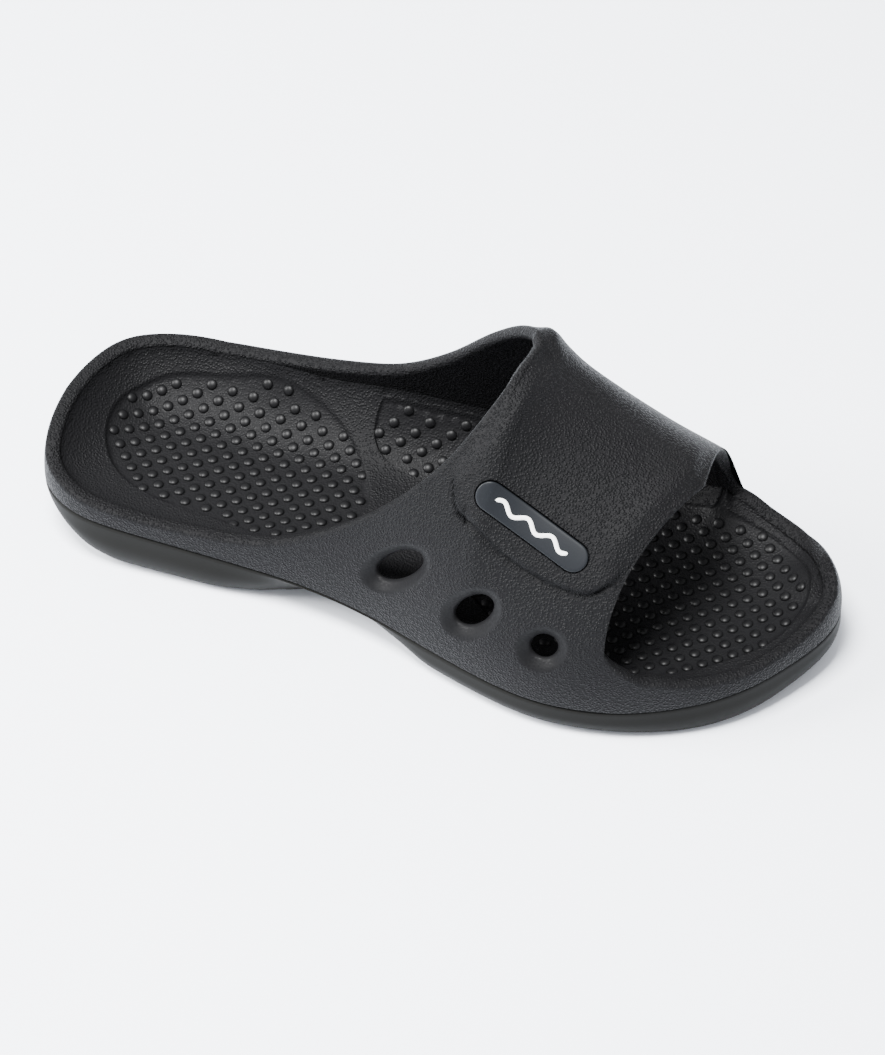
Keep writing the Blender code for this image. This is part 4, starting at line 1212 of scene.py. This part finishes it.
def domeMesh():  # one nub: a low dome with its foot sunk a little
    points = []
    sides = nubSettings["sides"]
    rings = nubSettings["rings"]
    for ring in range(rings):
        turn = ring / rings * math.pi / 2
        for k in range(sides):
            angle = 2 * math.pi * k / sides
            height = math.sin(turn) if ring else -nubSettings["foot"]
            points.append((math.cos(turn) * math.cos(angle), math.cos(turn) * math.sin(angle), height))
    points.append((0.0, 0.0, 1.0))
    faces = stacked(rings, sides, True)
    faces += [[first, after, len(points) - 1] for first, after in ringLinks((rings - 1) * sides, sides)]
    faces.append(list(range(sides))[::-1])
    item = newObject("nubForm", points, faces)
    item.data.shade_smooth()
    return item


def nubPlaces():  # staggered rows along the foot, kept inside the sunk fields
    along = nubSettings["pitchAlong"]
    across = nubSettings["pitchAcross"]
    rows = []
    for row in range(-16, 17):
        xs = np.arange(-24, 25) * along + (along / 2 if row % 2 else 0.0)
        rows.append(np.stack([xs, np.full(len(xs), row * across / 2)], axis=1))
    places = np.concatenate(rows)
    kept = np.zeros(len(places), bool)
    for ring in bedFields:
        kept |= insideOf(places, inset(ring, nubSettings["border"]))
    return places[kept]


def nubTree(form, finish):
    tree = bpy.data.node_groups.new("nubRows", "GeometryNodeTree")
    names = {}
    sizes = dict(Radius="Float", Height="Float", Spread="Float", Seed="Int")
    for name, kind in dict(Geometry="Geometry", Bed="Object", **sizes).items():
        socket = tree.interface.new_socket(name, in_out="INPUT", socket_type="NodeSocket" + kind)
        names[name] = socket.identifier
    tree.interface.new_socket("Geometry", in_out="OUTPUT", socket_type="NodeSocketGeometry")
    given = tree.nodes.new("NodeGroupInput").outputs
    made = tree.nodes.new("NodeGroupOutput")
    bedInfo = addNode(tree, "GeometryNodeObjectInfo", [("Object", given["Bed"])])
    formInfo = addNode(tree, "GeometryNodeObjectInfo", values=[("Object", form)])
    rays = addNode(
        tree, "GeometryNodeRaycast", [("Target Geometry", bedInfo.outputs["Geometry"])],
        [("Ray Direction", (0, 0, -1)), ("Ray Length", 0.2)],
    )
    kept = addNode(tree, "GeometryNodeCaptureAttribute", [("Geometry", given["Geometry"])])
    kept.capture_items.new("VECTOR", "Lean")
    tree.links.new(rays.outputs["Hit Normal"], kept.inputs["Lean"])
    placed = addNode(
        tree, "GeometryNodeSetPosition",
        [("Geometry", kept.outputs["Geometry"]), ("Position", rays.outputs["Hit Position"])],
    )
    turned = addNode(tree, "FunctionNodeAlignRotationToVector", [("Vector", kept.outputs["Lean"])], axis="Z")
    chance = addNode(tree, "FunctionNodeRandomValue", [("Seed", given["Seed"])], data_type="FLOAT")
    size = addMath(tree, "ADD", addMath(tree, "MULTIPLY", chance.outputs[1], given["Spread"]), 1.0)
    wide = addMath(tree, "MULTIPLY", size, given["Radius"])
    tall = addMath(tree, "MULTIPLY", size, given["Height"])
    scale = addNode(tree, "ShaderNodeCombineXYZ", [(0, wide), (1, wide), (2, tall)])
    points = addNode(tree, "GeometryNodeMeshToPoints", [("Mesh", placed.outputs["Geometry"])])
    nubs = addNode(
        tree, "GeometryNodeInstanceOnPoints",
        [
            ("Points", points.outputs["Points"]),
            ("Instance", formInfo.outputs["Geometry"]),
            ("Rotation", turned.outputs["Rotation"]),
            ("Scale", scale.outputs["Vector"]),
        ],
    )
    real = addNode(tree, "GeometryNodeRealizeInstances", [("Geometry", nubs.outputs["Instances"])])
    coloured = addNode(
        tree, "GeometryNodeSetMaterial", [("Geometry", real.outputs["Geometry"])], [("Material", finish)]
    )
    tree.links.new(coloured.outputs["Geometry"], made.inputs["Geometry"])
    return tree, names


def buildNubs():
    form = domeMesh()
    places = nubPlaces()
    item = newObject("footbed_nubs", np.column_stack([places, np.full(len(places), 80 * mm)]), [])
    tree, names = nubTree(form, polishedBlack)
    rows = item.modifiers.new("nubRows", "NODES")
    rows.node_group = tree
    rows[names["Bed"]] = footbed
    for name in ("Radius", "Height", "Spread", "Seed"):
        rows[names[name]] = nubSettings[name.lower()]
    applied(item)
    bpy.data.objects.remove(form, do_unlink=True)
    item.data.shade_smooth()
    return item, len(places)


nubs, nubCount = buildNubs()
print("nubs", nubCount, len(nubs.data.polygons))
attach(nubs, "root")


# Camera, floor and light

view = dict(azimuth=22.8, elevation=47.5, distance=1.3, target=(3.0 * mm, -4.7 * mm, 25 * mm), lens=131.9)


def placeCamera():
    azimuth = math.radians(view["azimuth"])
    elevation = math.radians(view["elevation"])
    back = Vector((
        math.sin(azimuth) * math.cos(elevation),
        -math.cos(azimuth) * math.cos(elevation),
        math.sin(elevation),
    ))
    lens = bpy.data.cameras.new("photoCamera")
    lens.sensor_fit = "VERTICAL"
    lens.sensor_height = 36.0
    lens.lens = view["lens"]
    lens.clip_start = 0.05
    camera = bpy.data.objects.new("photoCamera", lens)
    camera.location = Vector(view["target"]) + back * view["distance"]
    camera.rotation_euler = back.to_track_quat("Z", "Y").to_euler()
    bpy.context.scene.collection.objects.link(camera)
    bpy.context.scene.camera = camera


lamps = dict(
    left=dict(place=(-1.2, -0.5, 0.9), aim=(0, 0, 0.02), size=(0.7, 0.6), power=72),
    overhead=dict(place=(-0.15, -0.3, 1.45), aim=(0, 0, 0), size=(0.5, 0.5), power=100),
)


def areaLight(name, place, aim, size, power):
    lamp = bpy.data.lights.new(name, "AREA")
    lamp.shape = "RECTANGLE"
    lamp.size, lamp.size_y = size
    lamp.energy = power
    item = bpy.data.objects.new(name, lamp)
    item.location = place
    item.rotation_euler = (Vector(place) - Vector(aim)).to_track_quat("Z", "Y").to_euler()
    bpy.context.scene.collection.objects.link(item)


def studio():
    corners = [(-8, -8, 0), (8, -8, 0), (8, 8, 0), (-8, 8, 0)]
    floor = newObject("studioFloor", corners, [[0, 1, 2, 3]])
    dressed(floor, newMaterial("paper_white_matte", "#F0F4FB", 0.9)[0])
    for name, lamp in lamps.items():
        areaLight(name, **lamp)
    world = bpy.data.worlds.new("studioWorld")
    world.use_nodes = True
    sky = world.node_tree.nodes["Background"].inputs
    sky["Color"].default_value = linear("#F7F8FB")
    sky["Strength"].default_value = 1.15
    bpy.context.scene.world = world


placeCamera()
studio()
